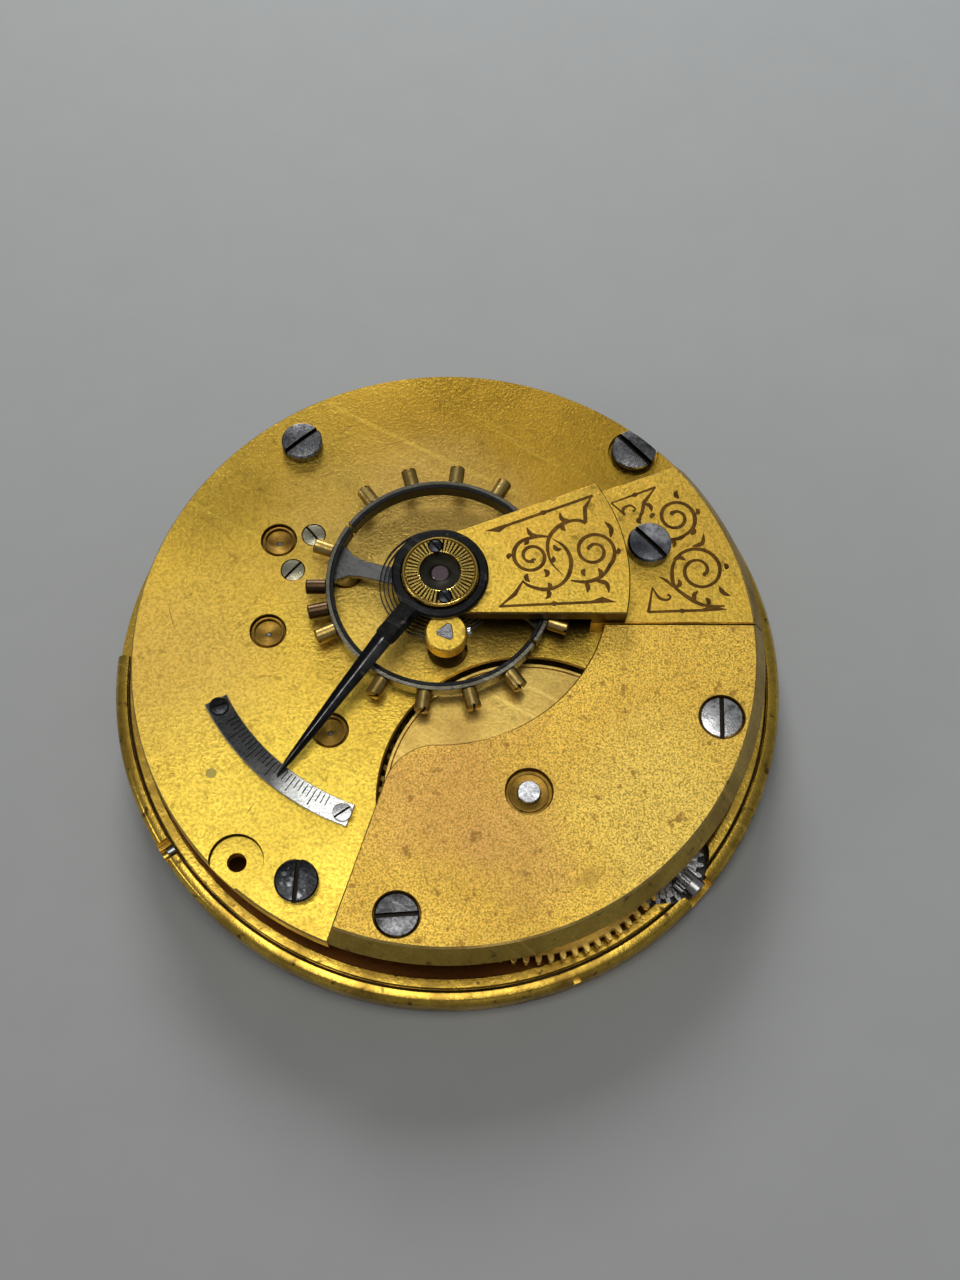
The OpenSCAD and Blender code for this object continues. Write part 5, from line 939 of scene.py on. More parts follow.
def screw(place, z0, radius, height, turn, width, depth, material, shank, shank_z, dome=0.06, chamfer=0.08):
    top = z0 + height
    section = [(0, shank_z), (shank, shank_z), (shank, z0), (radius - 0.03, z0), (radius, z0 + 0.03),
        (radius, top - (chamfer + dome)), (radius - chamfer, top - dome),
        (radius * 0.55, top - dome * 0.25), (0, top)]
    groove = block(((-radius - 1, radius + 1), (-width / 2, width / 2), (top - depth, top + 1)), turn,
        cut_near_black, place)
    return cut(turned("screw", section, material, place, 64), [groove])


low, high = levels("banking_screws")
banking = []
for place, turn in zip(banking_p, (-50, 48)):
    banking.append(screw(place, high - 0.46, 0.8, 0.46, turn, 0.16, 0.2, steel_slot, dome=0.05,
        chamfer=0.06, shank=0.4, shank_z=4.8))
    banking.append(turned("pin", [(0, low), (0.22, low), (0.25, low + 0.03), (0.25, 4.85), (0, 4.85)],
        steel_slot, place, 32))
put(joined("banking_screws", banking), "frame", "banking_screws")

# Potance screw. A small steel screw, sunk in the top plate under the balance. It goes through the
# plate and holds the potance.
low, high = levels("potance_screw")
put(screw(potance_p, high - 0.48, 0.83, 0.48, 60, 0.16, 0.2, steel_slot, shank=0.4, shank_z=low), "frame",
    "potance_screw")

# Pillar screws. Steel screws with tall cylindrical heads hold the top plate on its pillars. The
# third one is sunk in the plate, because the balance cock lies over it.
dark_steel = finish("dark_steel", (0.34, 0.34, 0.35), (0.022, 0.022, 0.023), 0.27, patch=1.0, speck=0.9,
    scratch=0.6, patch_scale=800, dark=(0.015, 0.014, 0.012), sparkle=0.6)
black_steel = finish("black_steel", (0.06, 0.062, 0.068), (0.010, 0.010, 0.011), 0.20, patch=1.0, speck=0.6,
    scratch=0.5, patch_scale=500, dark=(0.30, 0.30, 0.30), sparkle=0.6)
low, high = levels("pillar_screws")
heads = []
for place, turn, seat, metal in zip(plate_pillars, (40, 86, 10), (top_face, top_face, top_face - 0.82),
        (dark_steel, black_steel, dark_steel)):
    heads.append(screw(place, seat, 1.38, 0.8, turn, 0.3, 0.42, metal, shank=0.5, shank_z=low, dome=0.08,
        chamfer=0.1))
put(joined("pillar_screws", heads), "frame", "pillar_screws")

# Case screw. A steel screw with a large flat head, half cut away at the plate's edge, so that a
# half turn lets the movement out of its case.
low, high = levels("case_screw")
case_screw = turned("case_screw", [(0, low), (0.55, low), (0.6, low + 0.1), (0.6, high - 1.1),
    (1.47, high - 1.1), (1.5, high - 1.07), (1.5, high - 0.18), (1.42, high - 0.08), (0.8, high - 0.01),
    (0, high)], dark_steel, case_p, 96)
case_screw = cut(case_screw, [block(((-3, 3), (-0.2, 0.2), (high - 0.52, high + 1)), -46, cut_near_black, case_p),
    prism(arc(20.25, 30, 70, 60) + arc(26, 70, 30, 60), 3, 9, screw_grey)])
put(case_screw, "frame", "case_screw")

# Steady pins. Plain brass pins that stand in the top plate. They set the balance cock, the barrel
# bridge and the potance in their places before the screws are driven.
pin_brass = finish("pin_brass", (0.70, 0.48, 0.20), (0.42, 0.26, 0.10), 0.28, patch=0.5, scratch=0.3)
low, high = levels("steady_pins")
steady_p = [polar(12.8, -4.3, balance_p), polar(17.3, 25, balance_p), polar(18.6, -1.2), polar(11.2, -3)]
pins = [turned("pin", [(0, low), (0.34, low), (0.4, low + 0.08), (0.4, high - 0.12), (0.3, high),
    (0, high)], pin_brass, place, 32) for place in steady_p]
put(joined("steady_pins", pins), "frame", "steady_pins")

# Barrel bridge. A separate gilt bridge, screwed on two pillars, that covers the barrel and holds
# the upper end of its arbor. Its outer edge slopes, and it is cut back in a sweep round the
# balance. Old moisture has stained it pink and brown, and a bright yellow patch at its right is a
# painted highlight.
# The bright yellow mark at the bridge's right is a painted highlight; the others are stains.
bridge_stains_and_highlight = (((-1.4, -10.5, 7.5), 5.0, (0.62, 0.32, 0.11), 0.6),
    ((4.6, -13.6, 7.5), 3.8, (0.60, 0.31, 0.12), 0.55), ((3.0, -5.5, 7.5), 4.2, (0.68, 0.38, 0.10), 0.45),
    ((13.5, -11.5, 7.5), 6.5, (1.0, 0.74, 0.16), 0.65), ((8.6, -15.6, 7.5), 0.8, (0.30, 0.16, 0.04), 0.5))
bridge_gilt = finish("bridge_gilt", (0.93, 0.61, 0.10), (0.70, 0.42, 0.075), 0.36, patch=0.8, speck=0.75,
    bump=0.9, scratch=0.10, patch_scale=150, angle=1.1, sparkle=0.9, grain=8000, dark=(0.26, 0.13, 0.03),
    stains_and_painted_light=bridge_stains_and_highlight)
low, high = levels("barrel_bridge")
split = polar(1, -108.3)
normal = polar(1, -18.3)
joint = (-0.76 * normal[0], -0.76 * normal[1])
corner = (2.64 * normal[0] + 10.081 * split[0], 2.64 * normal[1] + 10.081 * split[1])
lower_line = balance_p[1] - 2.62


def bridge_ring(radius, shrink):
    top_y = lower_line - 0.08 - shrink
    away = math.sqrt(radius ** 2 - (0.76 - shrink) ** 2)
    near = (joint[0] + normal[0] * shrink, joint[1] + normal[1] * shrink)
    foot = (near[0] + split[0] * away, near[1] + split[1] * away)
    sweep = 10.95 + shrink
    start = -math.degrees(math.asin((balance_p[1] - top_y) / sweep))
    ring = arc(radius, heading(centre_p, foot), math.degrees(math.asin(top_y / radius)), 160)
    ring += arc(sweep, start, -90.64, 60, balance_p)
    ring += arc(3.4 - shrink, 89.4, 161.7, 20, corner)
    return ring


bridge = stack("bridge", [(bridge_ring(20.62, 0.06), low), (bridge_ring(20.68, 0), low + 0.06),
    (bridge_ring(19.94, 0), high - 0.1), (bridge_ring(19.80, 0.08), high)], (1, 2, 1), bridge_gilt,
    edge_gilt, olive)
tools = [turned("tool", [(0, 5), (0.75, 5), (0.75, high - 0.40), (1.17, high - 0.34), (1.20, high - 0.28),
    (1.25, high - 0.28), (1.29, high - 0.42), (1.43, high - 0.42), (1.50, high - 0.04), (1.53, high),
    (1.53, 9), (0, 9)], sink_gilt, barrel_p, 96)]
for place in bridge_pillars:
    tools.append(turned("tool", [(0, 5), (0.6, 5), (0.6, high - 0.8), (1.45, high - 0.8),
        (1.45, high - 0.05), (1.50, high), (1.50, 9), (0, 9)], sink_gilt, place, 96))
tools += [bore(p, 0.41, 5, 6.95, sink_gilt) for p in steady_p[2:]]
put(cut(bridge, tools, 24), "frame", "barrel_bridge")

# Bridge screws. Two steel screws with their heads sunk level in the bridge, driven into the ends
# of the tall pillars. One is still bright, the other dark.
low, head_top = levels("bridge_screws")
heads = []
light_steel = finish("light_steel", (0.80, 0.80, 0.80), (0.30, 0.30, 0.31), 0.25, patch=0.9, speck=0.7,
    scratch=0.6, patch_scale=1300, dark=(0.12, 0.11, 0.10), sparkle=0.4)
deep_steel = finish("deep_steel", (0.20, 0.20, 0.21), (0.018, 0.018, 0.019), 0.27, patch=1.0, speck=0.9,
    scratch=0.6, patch_scale=900, dark=(0.01, 0.01, 0.01), sparkle=0.6)
for place, turn, metal in zip(bridge_pillars, (4, 88), (deep_steel, light_steel)):
    heads.append(screw(place, high - 0.8, 1.38, head_top - high + 0.8, turn, 0.3, 0.4, metal, shank=0.5,
        shank_z=low, dome=0.06, chamfer=0.1))
put(joined("bridge_screws", heads), "frame", "bridge_screws")

# Index plate. A curved strip of steel let on to the top plate under the tip of the regulator,
# with fine graduations cut across it and held by a small screw at each end.
# The strip is coloured near-black towards its left end, and a near-white painted highlight lies at its right
# end.
index_dark_and_highlight = (((-14.4, -4.2, 6.3), 5.6, (0.030, 0.031, 0.034), 0.95),
    ((-12.3, -7.0, 6.3), 3.9, (0.035, 0.036, 0.038), 0.9),
    ((-6.4, -11.2, 6.3), 4.0, (0.92, 0.94, 0.90), 0.85))
index_steel = finish("index_steel", (0.55, 0.56, 0.54), (0.22, 0.23, 0.21), 0.25, patch=0.9, speck=0.5,
    scratch=0.6, patch_scale=500, dark=(0.12, 0.10, 0.07), stains_and_painted_light=index_dark_and_highlight)
low, high = levels("index_plate")
outline = arc(17.05, 207.8, 250.2, 60, balance_p) + arc(15.5, 250.2, 207.8, 60, balance_p)
strip_plate = plate("index_plate", outline, low, high, index_steel, bright_steel, 0.05)
ticks = [block(((15.62, 16.35 if k % 5 else 16.8), (-0.035, 0.035), (high - 0.04, high + 1)),
    229 + 1.15 * k, cut_near_black, balance_p) for k in range(-13, 14)]
ticks += [bore(p, 0.32, low - 1, high + 1, cut_near_black) for p in index_screw_p]
put(cut(strip_plate, ticks), "frame", "index_plate")

# Index plate screws. Two tiny steel screws, one at each end of the index plate, with their heads
# let into it. One has gone black.
low, top = levels("index_screws")
tiny_screws = [screw(p, high, 0.62, top - high, turn, 0.14, 0.12, metal, dome=0.03, chamfer=0.05,
    shank=0.29, shank_z=low) for p, turn, metal in zip(index_screw_p, (20, 35), (black_steel, light_steel))]
put(joined("index_screws", tiny_screws), "frame", "index_screws")

# Balance staff. A hardened steel staff turned with a fine pivot at each end. It runs in the
# potance's jewel below and the cock's jewel above.
staff_steel = finish("staff_steel", (0.62, 0.62, 0.64), (0.36, 0.35, 0.34), 0.18, patch=0.3, scratch=0.3)
low, high = levels("balance_staff")
put(turned("balance_staff", [(0, low), (0.07, low), (0.09, low + 0.03), (0.09, 3.45), (0.2, 3.5),
    (0.35, 3.56), (0.35, 6.55), (0.74, 6.55), (0.8, 6.61), (0.8, 6.80), (0.35, 6.80), (0.35, 8.23),
    (0.28, 8.3), (0.15, 8.4), (0.09, 8.6), (0.09, high - 0.03), (0.07, high), (0, high)], staff_steel,
    balance_p, 48), "balance", "balance_staff")

# Roller. A polished steel disc pressed on the staff under the balance. The ruby pin that stands
# in it drives the lever's fork and is driven by it.
low, high = levels("roller_table")
jewel_at = polar(1.05, 165.7, balance_p)
put(plate("roller_table", [polar(1.5, 7.5 * k, balance_p) for k in range(48)], low, high, staff_steel,
    bevel=0.05, holes=[ring_of(0.352, balance_p, 32), ring_of(0.2, jewel_at, 24)]), "balance",
    "roller_table")
low, high = levels("roller_jewel")
put(turned("roller_jewel", [(0, low), (0.17, low), (0.2, low + 0.03), (0.2, high - 0.03), (0.17, high),
    (0, high)], ruby, jewel_at, 24), "balance", "roller_jewel")

# Balance wheel. The inner layer of the split rim and the two arms are one steel piece, filed
# out and polished.
balance_steel = finish("balance_steel", (0.030, 0.031, 0.032), (0.012, 0.012, 0.012), 0.34, patch=0.8,
    speck=0.4, scratch=0.5, patch_scale=500)
arm_steel = finish("arm_steel", (0.22, 0.22, 0.215), (0.10, 0.10, 0.095), 0.30, patch=0.7, speck=0.4,
    scratch=0.6, patch_scale=500)
balance_brass = finish("balance_brass", (0.34, 0.32, 0.25), (0.08, 0.07, 0.05), 0.26, patch=0.9, speck=0.4,
    scratch=0.5, patch_scale=420)
low, high = levels("balance_rim")
arm_turn, rim_r = 165.5, 7.45


def half_rims(name, inner, outer, material):
    parts = []
    for k in (0, 1):
        start, end = arm_turn - 20 + 180 * k + 0.8, arm_turn + 160 + 180 * k - 0.8
        ring = arc(outer, start, end, 90, balance_p) + arc(inner, end, start, 90, balance_p)
        parts.append(plate(name, ring, low, high, material, bevel=0.03))
    return parts


wheel = half_rims("steel_rim", 6.93, 7.18, balance_steel)
arm_outline = []
for k in (0, 180):
    side = [(1.2, -0.575), (5.2, -0.575), (6.1, -0.75), (6.75, -1.25), (6.93, -1.62)]
    tip = [(math.sqrt(7.0 ** 2 - y * y), y) for y in (-1.2, -0.6, 0, 0.6, 1.2)]
    arm_outline += placed(side + tip + [(x, -y) for x, y in side[::-1]], balance_p, arm_turn + k)
wheel.append(plate("arms", arm_outline, low, low + 0.4, arm_steel, balance_steel, 0.03))
wheel.append(turned("hub", [(0.352, low), (1.3, low), (1.3, low + 0.4), (0.352, low + 0.4)], arm_steel,
    balance_p, 64))
put(joined("balance_wheel", wheel), "balance", "balance_wheel")

# Balance rim. The outer layer of brass, cast on the steel and cut through in two places, so that
# heat curls the two halves inward.
put(joined("balance_rim", half_rims("brass_rim", 7.18, rim_r, balance_brass)), "balance", "balance_rim")

# Balance screws. Sixteen slotted brass screws in the rim give it its weight and its poise. Two
# at the left are coloured dark brown.
screw_brass = finish("screw_brass", (0.60, 0.43, 0.14), (0.20, 0.12, 0.03), 0.32, patch=0.9, speck=0.4,
    scratch=0.3, patch_scale=700)
dark_brass_screws = finish("dark_left_brass", (0.10, 0.06, 0.03), (0.03, 0.02, 0.012), 0.34, patch=0.8, speck=0.3)
weights = []
for share in (-5, 15, 27, 39, 75, 97, 119, 141):
    for k in (0, 180):
        turn = arm_turn + share + k
        metal = dark_brass_screws if share in (15, 27) and not k else screw_brass
        body = turned("weight", [(0, -0.24), (0.2, -0.24), (0.2, 0), (0.44, 0), (0.5, 0.05), (0.5, 1.24),
            (0.44, 1.31), (0.2, 1.35), (0, 1.35)], metal, steps=32)
        body = cut(body, [block(((-1, 1), (-0.08, 0.08), (1.15, 2)), 60 + share, cut_near_black)])
        weights.append(laid(body, (*polar(rim_r, turn, balance_p), 7.35), turn))
put(joined("balance_screws", weights), "balance", "balance_screws")

# Hairspring. A blued steel strip, coiled flat over the balance and curved round at its outer end
# to the stud. Its inner end is pinned to a brass collet on the staff.
low, high = levels("hairspring_collet")
put(turned("collet", [(0.352, low), (0.8, low), (0.85, low + 0.05), (0.85, high - 0.1), (0.75, high),
    (0.352, high)], balance_brass, balance_p, 48), "balance", "hairspring_collet")
hair_blue = finish("hairspring_steel", (0.05, 0.052, 0.07), (0.02, 0.02, 0.03), 0.26, patch=0.5, scratch=0.2)
coil = [polar(0.88, -189.3, balance_p)]
steps = 11 * 72
for k in range(steps + 1):
    coil.append(polar(1.0 + 2.95 * k / steps, -159.3 - 360 * 11 * (1 - k / steps), balance_p))
coil += [polar(3.95, -159.3 + (-85.3 + 159.3) * k / 24, balance_p) for k in range(1, 25)]
put(strip("hairspring", coil, 7.495, 7.735, 0.08, hair_blue), "frame", "hairspring")

# Balance cock. A gilt brass arm, milled and filed from one piece, that holds the balance's upper
# jewel. Its foot is screwed to the top plate, and the boss at its tip holds the hairspring's stud.
cock_stains = (((9.5, 7.8, 9.05), 5.0, (0.70, 0.40, 0.06), 0.5),
    ((15.5, 8.5, 7.5), 6.0, (0.70, 0.42, 0.06), 0.5))
cock_gilt = finish("cock_gilt", (0.93, 0.62, 0.09), (0.68, 0.42, 0.06), 0.35, patch=0.75, speck=0.6,
    bump=0.8, scratch=0.15, patch_scale=160, angle=0.9, sparkle=0.5, stains_and_painted_light=cock_stains)
# The arm's bevels are coloured a darker brown for its thin dark edge lines, partly grime and partly painted
# shade at the step between the arm's end and the foot.
cock_edge = finish("cock_edge", (0.42, 0.27, 0.07), (0.12, 0.07, 0.02), 0.32, patch=0.9, speck=0.6,
    scratch=0.5, patch_scale=260)
# Painted shade: the arm's sides and underside, the riser and the foot's inner wall are coloured near-black
# brown for the shade under the arm.
cock_shade_side = finish("cock_shade_side", (0.10, 0.055, 0.014), (0.04, 0.022, 0.006), 0.36, patch=0.9, speck=0.6,
    scratch=0.3)
low, foot_top = levels("barrel_bridge")
arm_low, arm_top = 8.03, levels("balance_cock")[1]
hub_r, arm_dir = 2.62, 21.0


def cock_line(radius, about, upper, lower):
    up_point = polar(hub_r - upper, 111, balance_p)
    along = polar(1, arm_dir)
    rel = (up_point[0] - about[0], up_point[1] - about[1])
    dot = rel[0] * along[0] + rel[1] * along[1]
    reach = -dot + math.sqrt(dot * dot - rel[0] ** 2 - rel[1] ** 2 + radius ** 2)
    end = (up_point[0] + along[0] * reach, up_point[1] + along[1] * reach)
    y = lower_line + lower
    start = (about[0] + math.sqrt(radius ** 2 - (y - about[1]) ** 2), y)
    return heading(about, start), heading(about, end)


def arm_ring(shrink):
    start, end = cock_line(12.25 - shrink, balance_p, shrink, shrink)
    return arc(12.25 - shrink, start, end, 50, balance_p) + arc(hub_r - shrink, 111, 270, 50, balance_p)


def foot_ring(radius, shrink):
    start, end = cock_line(radius, centre_p, shrink, shrink)
    inner_start, inner_end = cock_line(10.1 + shrink, balance_p, shrink, shrink)
    return arc(radius, start, end, 80) + arc(10.1 + shrink, inner_end, inner_start, 40, balance_p)


arm = stack("arm", [(arm_ring(0.05), arm_low), (arm_ring(0), arm_low + 0.05), (arm_ring(0), arm_top - 0.09),
    (arm_ring(0.08), arm_top)], (1, 2, 1), cock_gilt, cock_edge, cock_shade_side,
    holes=[[(ring_of(0.75, balance_p), z) for z in (arm_low, arm_low + 0.05, arm_top - 0.09, arm_top)]])
# The arm's underside takes the painted shade.
arm = cut(arm, [prism(arm_ring(0.08), 7, arm_low + 0.02, cock_shade_side)])
foot = stack("foot", [(foot_ring(20.62, 0.05), low), (foot_ring(20.68, 0), low + 0.06),
    (foot_ring(19.94, 0), foot_top - 0.1), (foot_ring(19.80, 0.07), foot_top)], (1, 2, 1), cock_gilt,
    edge_gilt, olive)
cock_screw_p = polar(13.96, 11.4, balance_p)
tools = [bore(balance_p, 10.125, 5, foot_top - 0.1, cock_shade_side), bore(cock_screw_p, 0.6, 5, 9, sink_gilt)]
tools += [bore(p, 0.41, 5, 6.95, sink_gilt) for p in steady_p[:2]]
foot = cut(foot, tools)
start, end = cock_line(12.24, balance_p, 0.01, 0.01)
inner_start, inner_end = cock_line(10.11, balance_p, 0.01, 0.01)
riser = prism(arc(12.24, start, end, 50, balance_p) + arc(10.11, inner_end, inner_start, 40, balance_p),
    foot_top - 0.1, arm_low + 0.1, cock_shade_side)
stud_p = (-0.107, 0.018)
boss = turned("boss", [(0, arm_top - 1.2), (1.27, arm_top - 1.2), (1.33, arm_top - 1.14),
    (1.33, arm_top - 0.1), (1.23, arm_top + 0.001), (0, arm_top + 0.001)], cock_gilt, stud_p, 96)
stud_turn = heading(balance_p, stud_p)
neck = block(((1.5, 3.9), (-0.93, 0.93), (arm_low + 0.003, 8.8)), stud_turn, olive, balance_p)
outline = []
for turn in (188, 308, 428):
    for share in (-14, 0, 14):
        outline.append(polar(0.6, turn + share, stud_p))
boss = cut(boss, [prism(inset(outline, -0.015), 7, 10, cut_near_black)])
put(joined("balance_cock", [arm, foot, riser, boss, neck]), "frame", "balance_cock")

# Engraving. Scrolls and framing lines cut into the cock by hand and darkened by age: curled
# stems with leaves on the arm and on the foot, each group held between two lines with sharp
# corners.
engraving = finish("engraving_brown", (0.17, 0.085, 0.018), (0.060, 0.030, 0.010), 0.45, patch=1.0,
    speck=0.3, bump=0.4, scratch=0.0, patch_scale=900)


# A cut line of changing width on a face, its widths spread evenly along it
def stroke(line, widths, height, material):
    points, faces, halves = [], [], []
    for k in range(len(line)):
        share = k / (len(line) - 1) * (len(widths) - 1)
        first = min(int(share), len(widths) - 2)
        halves.append((widths[first] + (widths[first + 1] - widths[first]) * (share - first)) * 0.54)
    base = height - 0.03
    for left, right in edges(line, halves):
        points += [(*left, height), (*right, height), (*right, base), (*left, base)]
    last = len(points) - 4
    for row in range(0, last, 4):
        faces += between(row, row + 4, 4)
    faces += [(3, 2, 1, 0), tuple(range(last, last + 4))]
    return solid("stroke", points, faces, material)


def smooth(knots, per=10):
    line = []
    ends = [knots[0], *knots, knots[-1]]
    for k in range(1, len(ends) - 2):
        a, b, c, d = ends[k - 1:k + 3]
        for step in range(per):
            t = step / per
            line.append(tuple(0.5 * (2 * b[i] + (c[i] - a[i]) * t
                + (2 * a[i] - 5 * b[i] + 4 * c[i] - d[i]) * t ** 2
                + (3 * b[i] - a[i] - 3 * c[i] + d[i]) * t ** 3) for i in (0, 1)))
    return line + [knots[-1]]


stem_widths = (0.10, 0.21, 0.27, 0.21, 0.27, 0.20, 0.25, 0.20, 0.24, 0.18, 0.26)
cuts = {"arm": [], "foot": []}
for side, lead, middle, radius, start, sweep in (
        ("arm", [(7.0, 2.78), (6.3, 2.82)], (5.9, 1.38), 1.30, 92, 560),
        ("arm", [(8.4, -0.34), (9.5, -0.42), (10.45, 0.02)], (9.95, 1.78), 1.42, -42, 545),
        ("foot", [(14.9, 3.35), (15.7, 3.42)], (15.6, 4.98), 1.40, -66, 550),
        ("foot", [(18.5, -1.42), (17.1, -1.36), (16.0, -0.72), (15.25, 0.05)], (16.95, 1.1), 1.78, 182,
        -575)):
    wound = [polar(radius * (1 - 0.74 * k / 44), start + sweep * k / 44, middle) for k in range(45)]
    cuts[side].append((smooth(lead + [wound[0]])[:-1] + wound, stem_widths))
    cuts[side].append((arc(0.09, 0, 300, 10, wound[-1]), (0.18, 0.18)))
for side, knots, widths in (
        ("arm", [(9.5, 3.8), (8.8, 3.98), (7.9, 3.68), (7.15, 2.9), (6.95, 1.95), (7.2, 0.9), (7.9, 0.05)],
        (0.26, 0.20, 0.26, 0.26, 0.22, 0.14, 0.03)),
        ("arm", [(7.3, 2.62), (8.05, 2.05), (8.45, 1.1), (8.25, 0.0), (7.6, -0.72), (6.7, -0.97),
        (5.8, -0.75), (5.3, -0.4)], (0.04, 0.20, 0.26, 0.26, 0.20, 0.26, 0.20, 0.12)),
        ("foot", [(13.35, 5.3), (13.2, 4.7), (13.5, 4.1)], (0.22, 0.14, 0.04)),
        ("foot", [(14.35, 0.65), (14.8, 0.35), (15.2, -0.1)], (0.04, 0.22, 0.10)),
        ("foot", [(13.85, -0.15), (14.25, -0.85), (14.75, -1.0), (15.0, -0.78), (14.8, -0.62)],
        (0.08, 0.2, 0.16, 0.12, 0.2)),
        ("foot", [(12.2, 5.15), (12.15, 5.6), (12.6, 5.85), (12.95, 5.6), (12.75, 5.4)],
        (0.04, 0.24, 0.16, 0.12, 0.2))):
    cuts[side].append((smooth(knots), widths))
for side, line, widths in (
        ("arm", [(2.95, 3.18), (3.8, 3.30), (4.3, 3.60)], (0.02, 0.40, 0.18)),
        ("arm", [(4.1, 3.50), (9.98, 5.78)], (0.19, 0.19)),
        ("arm", [(6.3, 4.36), (6.7, 4.52), (7.1, 4.66)], (0.03, 0.36, 0.03)),
        ("arm", [(9.98, 5.84), (9.45, 4.9), (9.45, 3.78)], (0.06, 0.27, 0.24)),
        ("arm", [(5.36, -0.32), (4.8, -1.3), (3.78, -2.20)], (0.10, 0.27, 0.08)),
        ("arm", [(3.78, -2.16), (9.9, -1.84), (11.25, -1.82)], (0.17, 0.19, 0.03)),
        ("arm", [(9.6, -1.80), (10.4, -1.68), (11.25, -1.82)], (0.03, 0.40, 0.02)),
        ("arm", [(6.9, -2.0), (7.3, -1.96), (7.7, -1.94)], (0.03, 0.34, 0.03)),
        ("foot", [(11.35, 6.02), (14.35, 7.22)], (0.10, 0.18)),
        ("foot", [(12.6, 6.5), (12.95, 6.65), (13.3, 6.8)], (0.03, 0.32, 0.03)),
        ("foot", [(11.35, 6.04), (12.25, 5.14)], (0.10, 0.16)),
        ("foot", [(14.38, 7.24), (13.55, 6.1), (13.35, 5.2)], (0.06, 0.26, 0.22)),
        ("foot", [(13.85, -0.1), (13.5, -1.9)], (0.10, 0.20)),
        ("foot", [(13.48, -1.86), (17.2, -1.72), (18.55, -1.68)], (0.17, 0.19, 0.03)),
        ("foot", [(17.0, -1.62), (17.8, -1.54), (18.6, -1.68)], (0.03, 0.34, 0.02)),
        ("foot", [(15.3, -1.79), (15.7, -1.77), (16.1, -1.75)], (0.03, 0.32, 0.03))):
    cuts[side].append((line, widths))
for side, foot_at, angle, length, bend in (
        ("arm", (8.5, 3.95), 172, 1.1, -65), ("arm", (8.0, 3.72), 262, 0.6, 50),
        ("arm", (6.5, 2.80), 168, 1.2, -48),
        ("arm", (5.55, 2.62), 285, 0.5, -60), ("arm", (5.6, 0.15), 262, 0.7, 50),
        ("arm", (6.7, 0.45), 310, 0.7, -70), ("arm", (7.35, 2.2), 300, 0.7, 60),
        ("arm", (7.1, 0.95), 40, 0.55, 50), ("arm", (6.9, -0.97), 285, 0.75, -50),
        ("arm", (7.0, -0.95), 75, 0.5, 50), ("arm", (11.05, 2.75), 85, 1.3, 45),
        ("arm", (11.36, 1.6), 40, 0.5, 60), ("arm", (10.3, -0.15), 80, 0.75, 40),
        ("arm", (10.0, -0.35), -15, 1.4, -62), ("arm", (9.3, -0.44), -60, 0.8, -40),
        ("arm", (9.35, 0.5), 240, 0.6, 60), ("arm", (4.65, 1.5), 205, 0.5, 60),
        ("foot", (15.9, 6.4), 130, 0.7, -60), ("foot", (16.98, 5.2), 60, 0.5, 60),
        ("foot", (14.25, 5.2), 200, 0.5, 60), ("foot", (16.55, 3.7), 50, 0.7, 60),
        ("foot", (15.2, 3.38), 310, 0.7, -50), ("foot", (13.6, 6.0), 330, 0.8, -50),
        ("foot", (13.3, 4.9), 220, 0.5, 60), ("foot", (16.6, 2.86), 20, 1.4, 60),
        ("foot", (15.3, 1.9), 20, 0.9, -50), ("foot", (18.68, 1.2), 70, 0.5, 60),
        ("foot", (18.2, -0.05), 300, 1.0, 35), ("foot", (15.4, -0.1), 45, 0.7, 60),
        ("foot", (16.6, -1.05), 100, 0.8, -55), ("foot", (17.4, -1.36), 80, 0.6, 50)):
    knee = polar(length * 0.5, angle, foot_at)
    cuts[side].append((smooth([foot_at, knee, polar(length * 0.5, angle + bend, knee)], 6),
        (0.08, 0.30, 0.26, 0.03)))
strokes = []
for side, level in (("arm", arm_top), ("foot", foot_top)):
    for k, (line, widths) in enumerate(cuts[side]):
        strokes.append(stroke(placed(line, balance_p, 0), widths, level + 0.003 + 0.0001 * k, engraving))
put(joined("cock_engraving", strokes), "frame")

# Scratches. Marks that a slipped screwdriver and a hundred years of handling have left in the
# gilding, round the upper left screw and on the bridge.
scratch_brown = finish("scratch_brown", (0.40, 0.24, 0.06), (0.20, 0.11, 0.03), 0.35, patch=0.9, speck=0.3)
marks = []
for level, line, width in (
        (7.5, [(14.6, -1.1), (14.75, -2.1), (14.6, -3.1), (14.35, -3.9)], 0.09),
        (top_face, [(-7.6, 15.9), (-6.6, 16.6)], 0.07), (top_face, [(-7.9, 15.4), (-6.2, 16.0)], 0.05),
        (top_face, [(-7.4, 16.5), (-5.9, 16.7)], 0.05),
        (top_face, [(-10.6, 12.9), (-9.4, 13.1), (-8.2, 13.6)], 0.06),
        (top_face, [(-10.9, 12.2), (-9.8, 11.9)], 0.05), (top_face, [(-11.7, 13.2), (-12.3, 12.4)], 0.05),
        (top_face, [(-8.9, 12.6), (-7.3, 13.1)], 0.05), (top_face, [(-5.0, 14.9), (-1.6, 15.9)], 0.04),
        (top_face, [(-18.4, 3.0), (-17.9, 1.4)], 0.06), (top_face, [(-12.6, -11.2), (-12.1, -10.4)], 0.07)):
    marks.append(stroke(smooth(line, 5), (0.01, width, width * 0.7, 0.01), level + 0.004, scratch_brown))
put(joined("scratches", marks), "frame")

# Hairspring stud. A small steel post with three rounded sides that pinches the hairspring's outer
# end. It stands in the cock's boss, held by a tiny screw from the side.
stud_steel = finish("stud_steel", (0.66, 0.67, 0.68), (0.48, 0.48, 0.48), 0.20, patch=0.4, scratch=0.3)
low, high = levels("hairspring_stud")
stud = plate("stud", outline, low, high, stud_steel, bright_steel, 0.04)
stud = cut(stud, [block(((-2, 2), (-0.12, 0.12), (low - 1, 7.76)), 0, cut_near_black, stud_p)])
put(stud, "frame", "hairspring_stud")

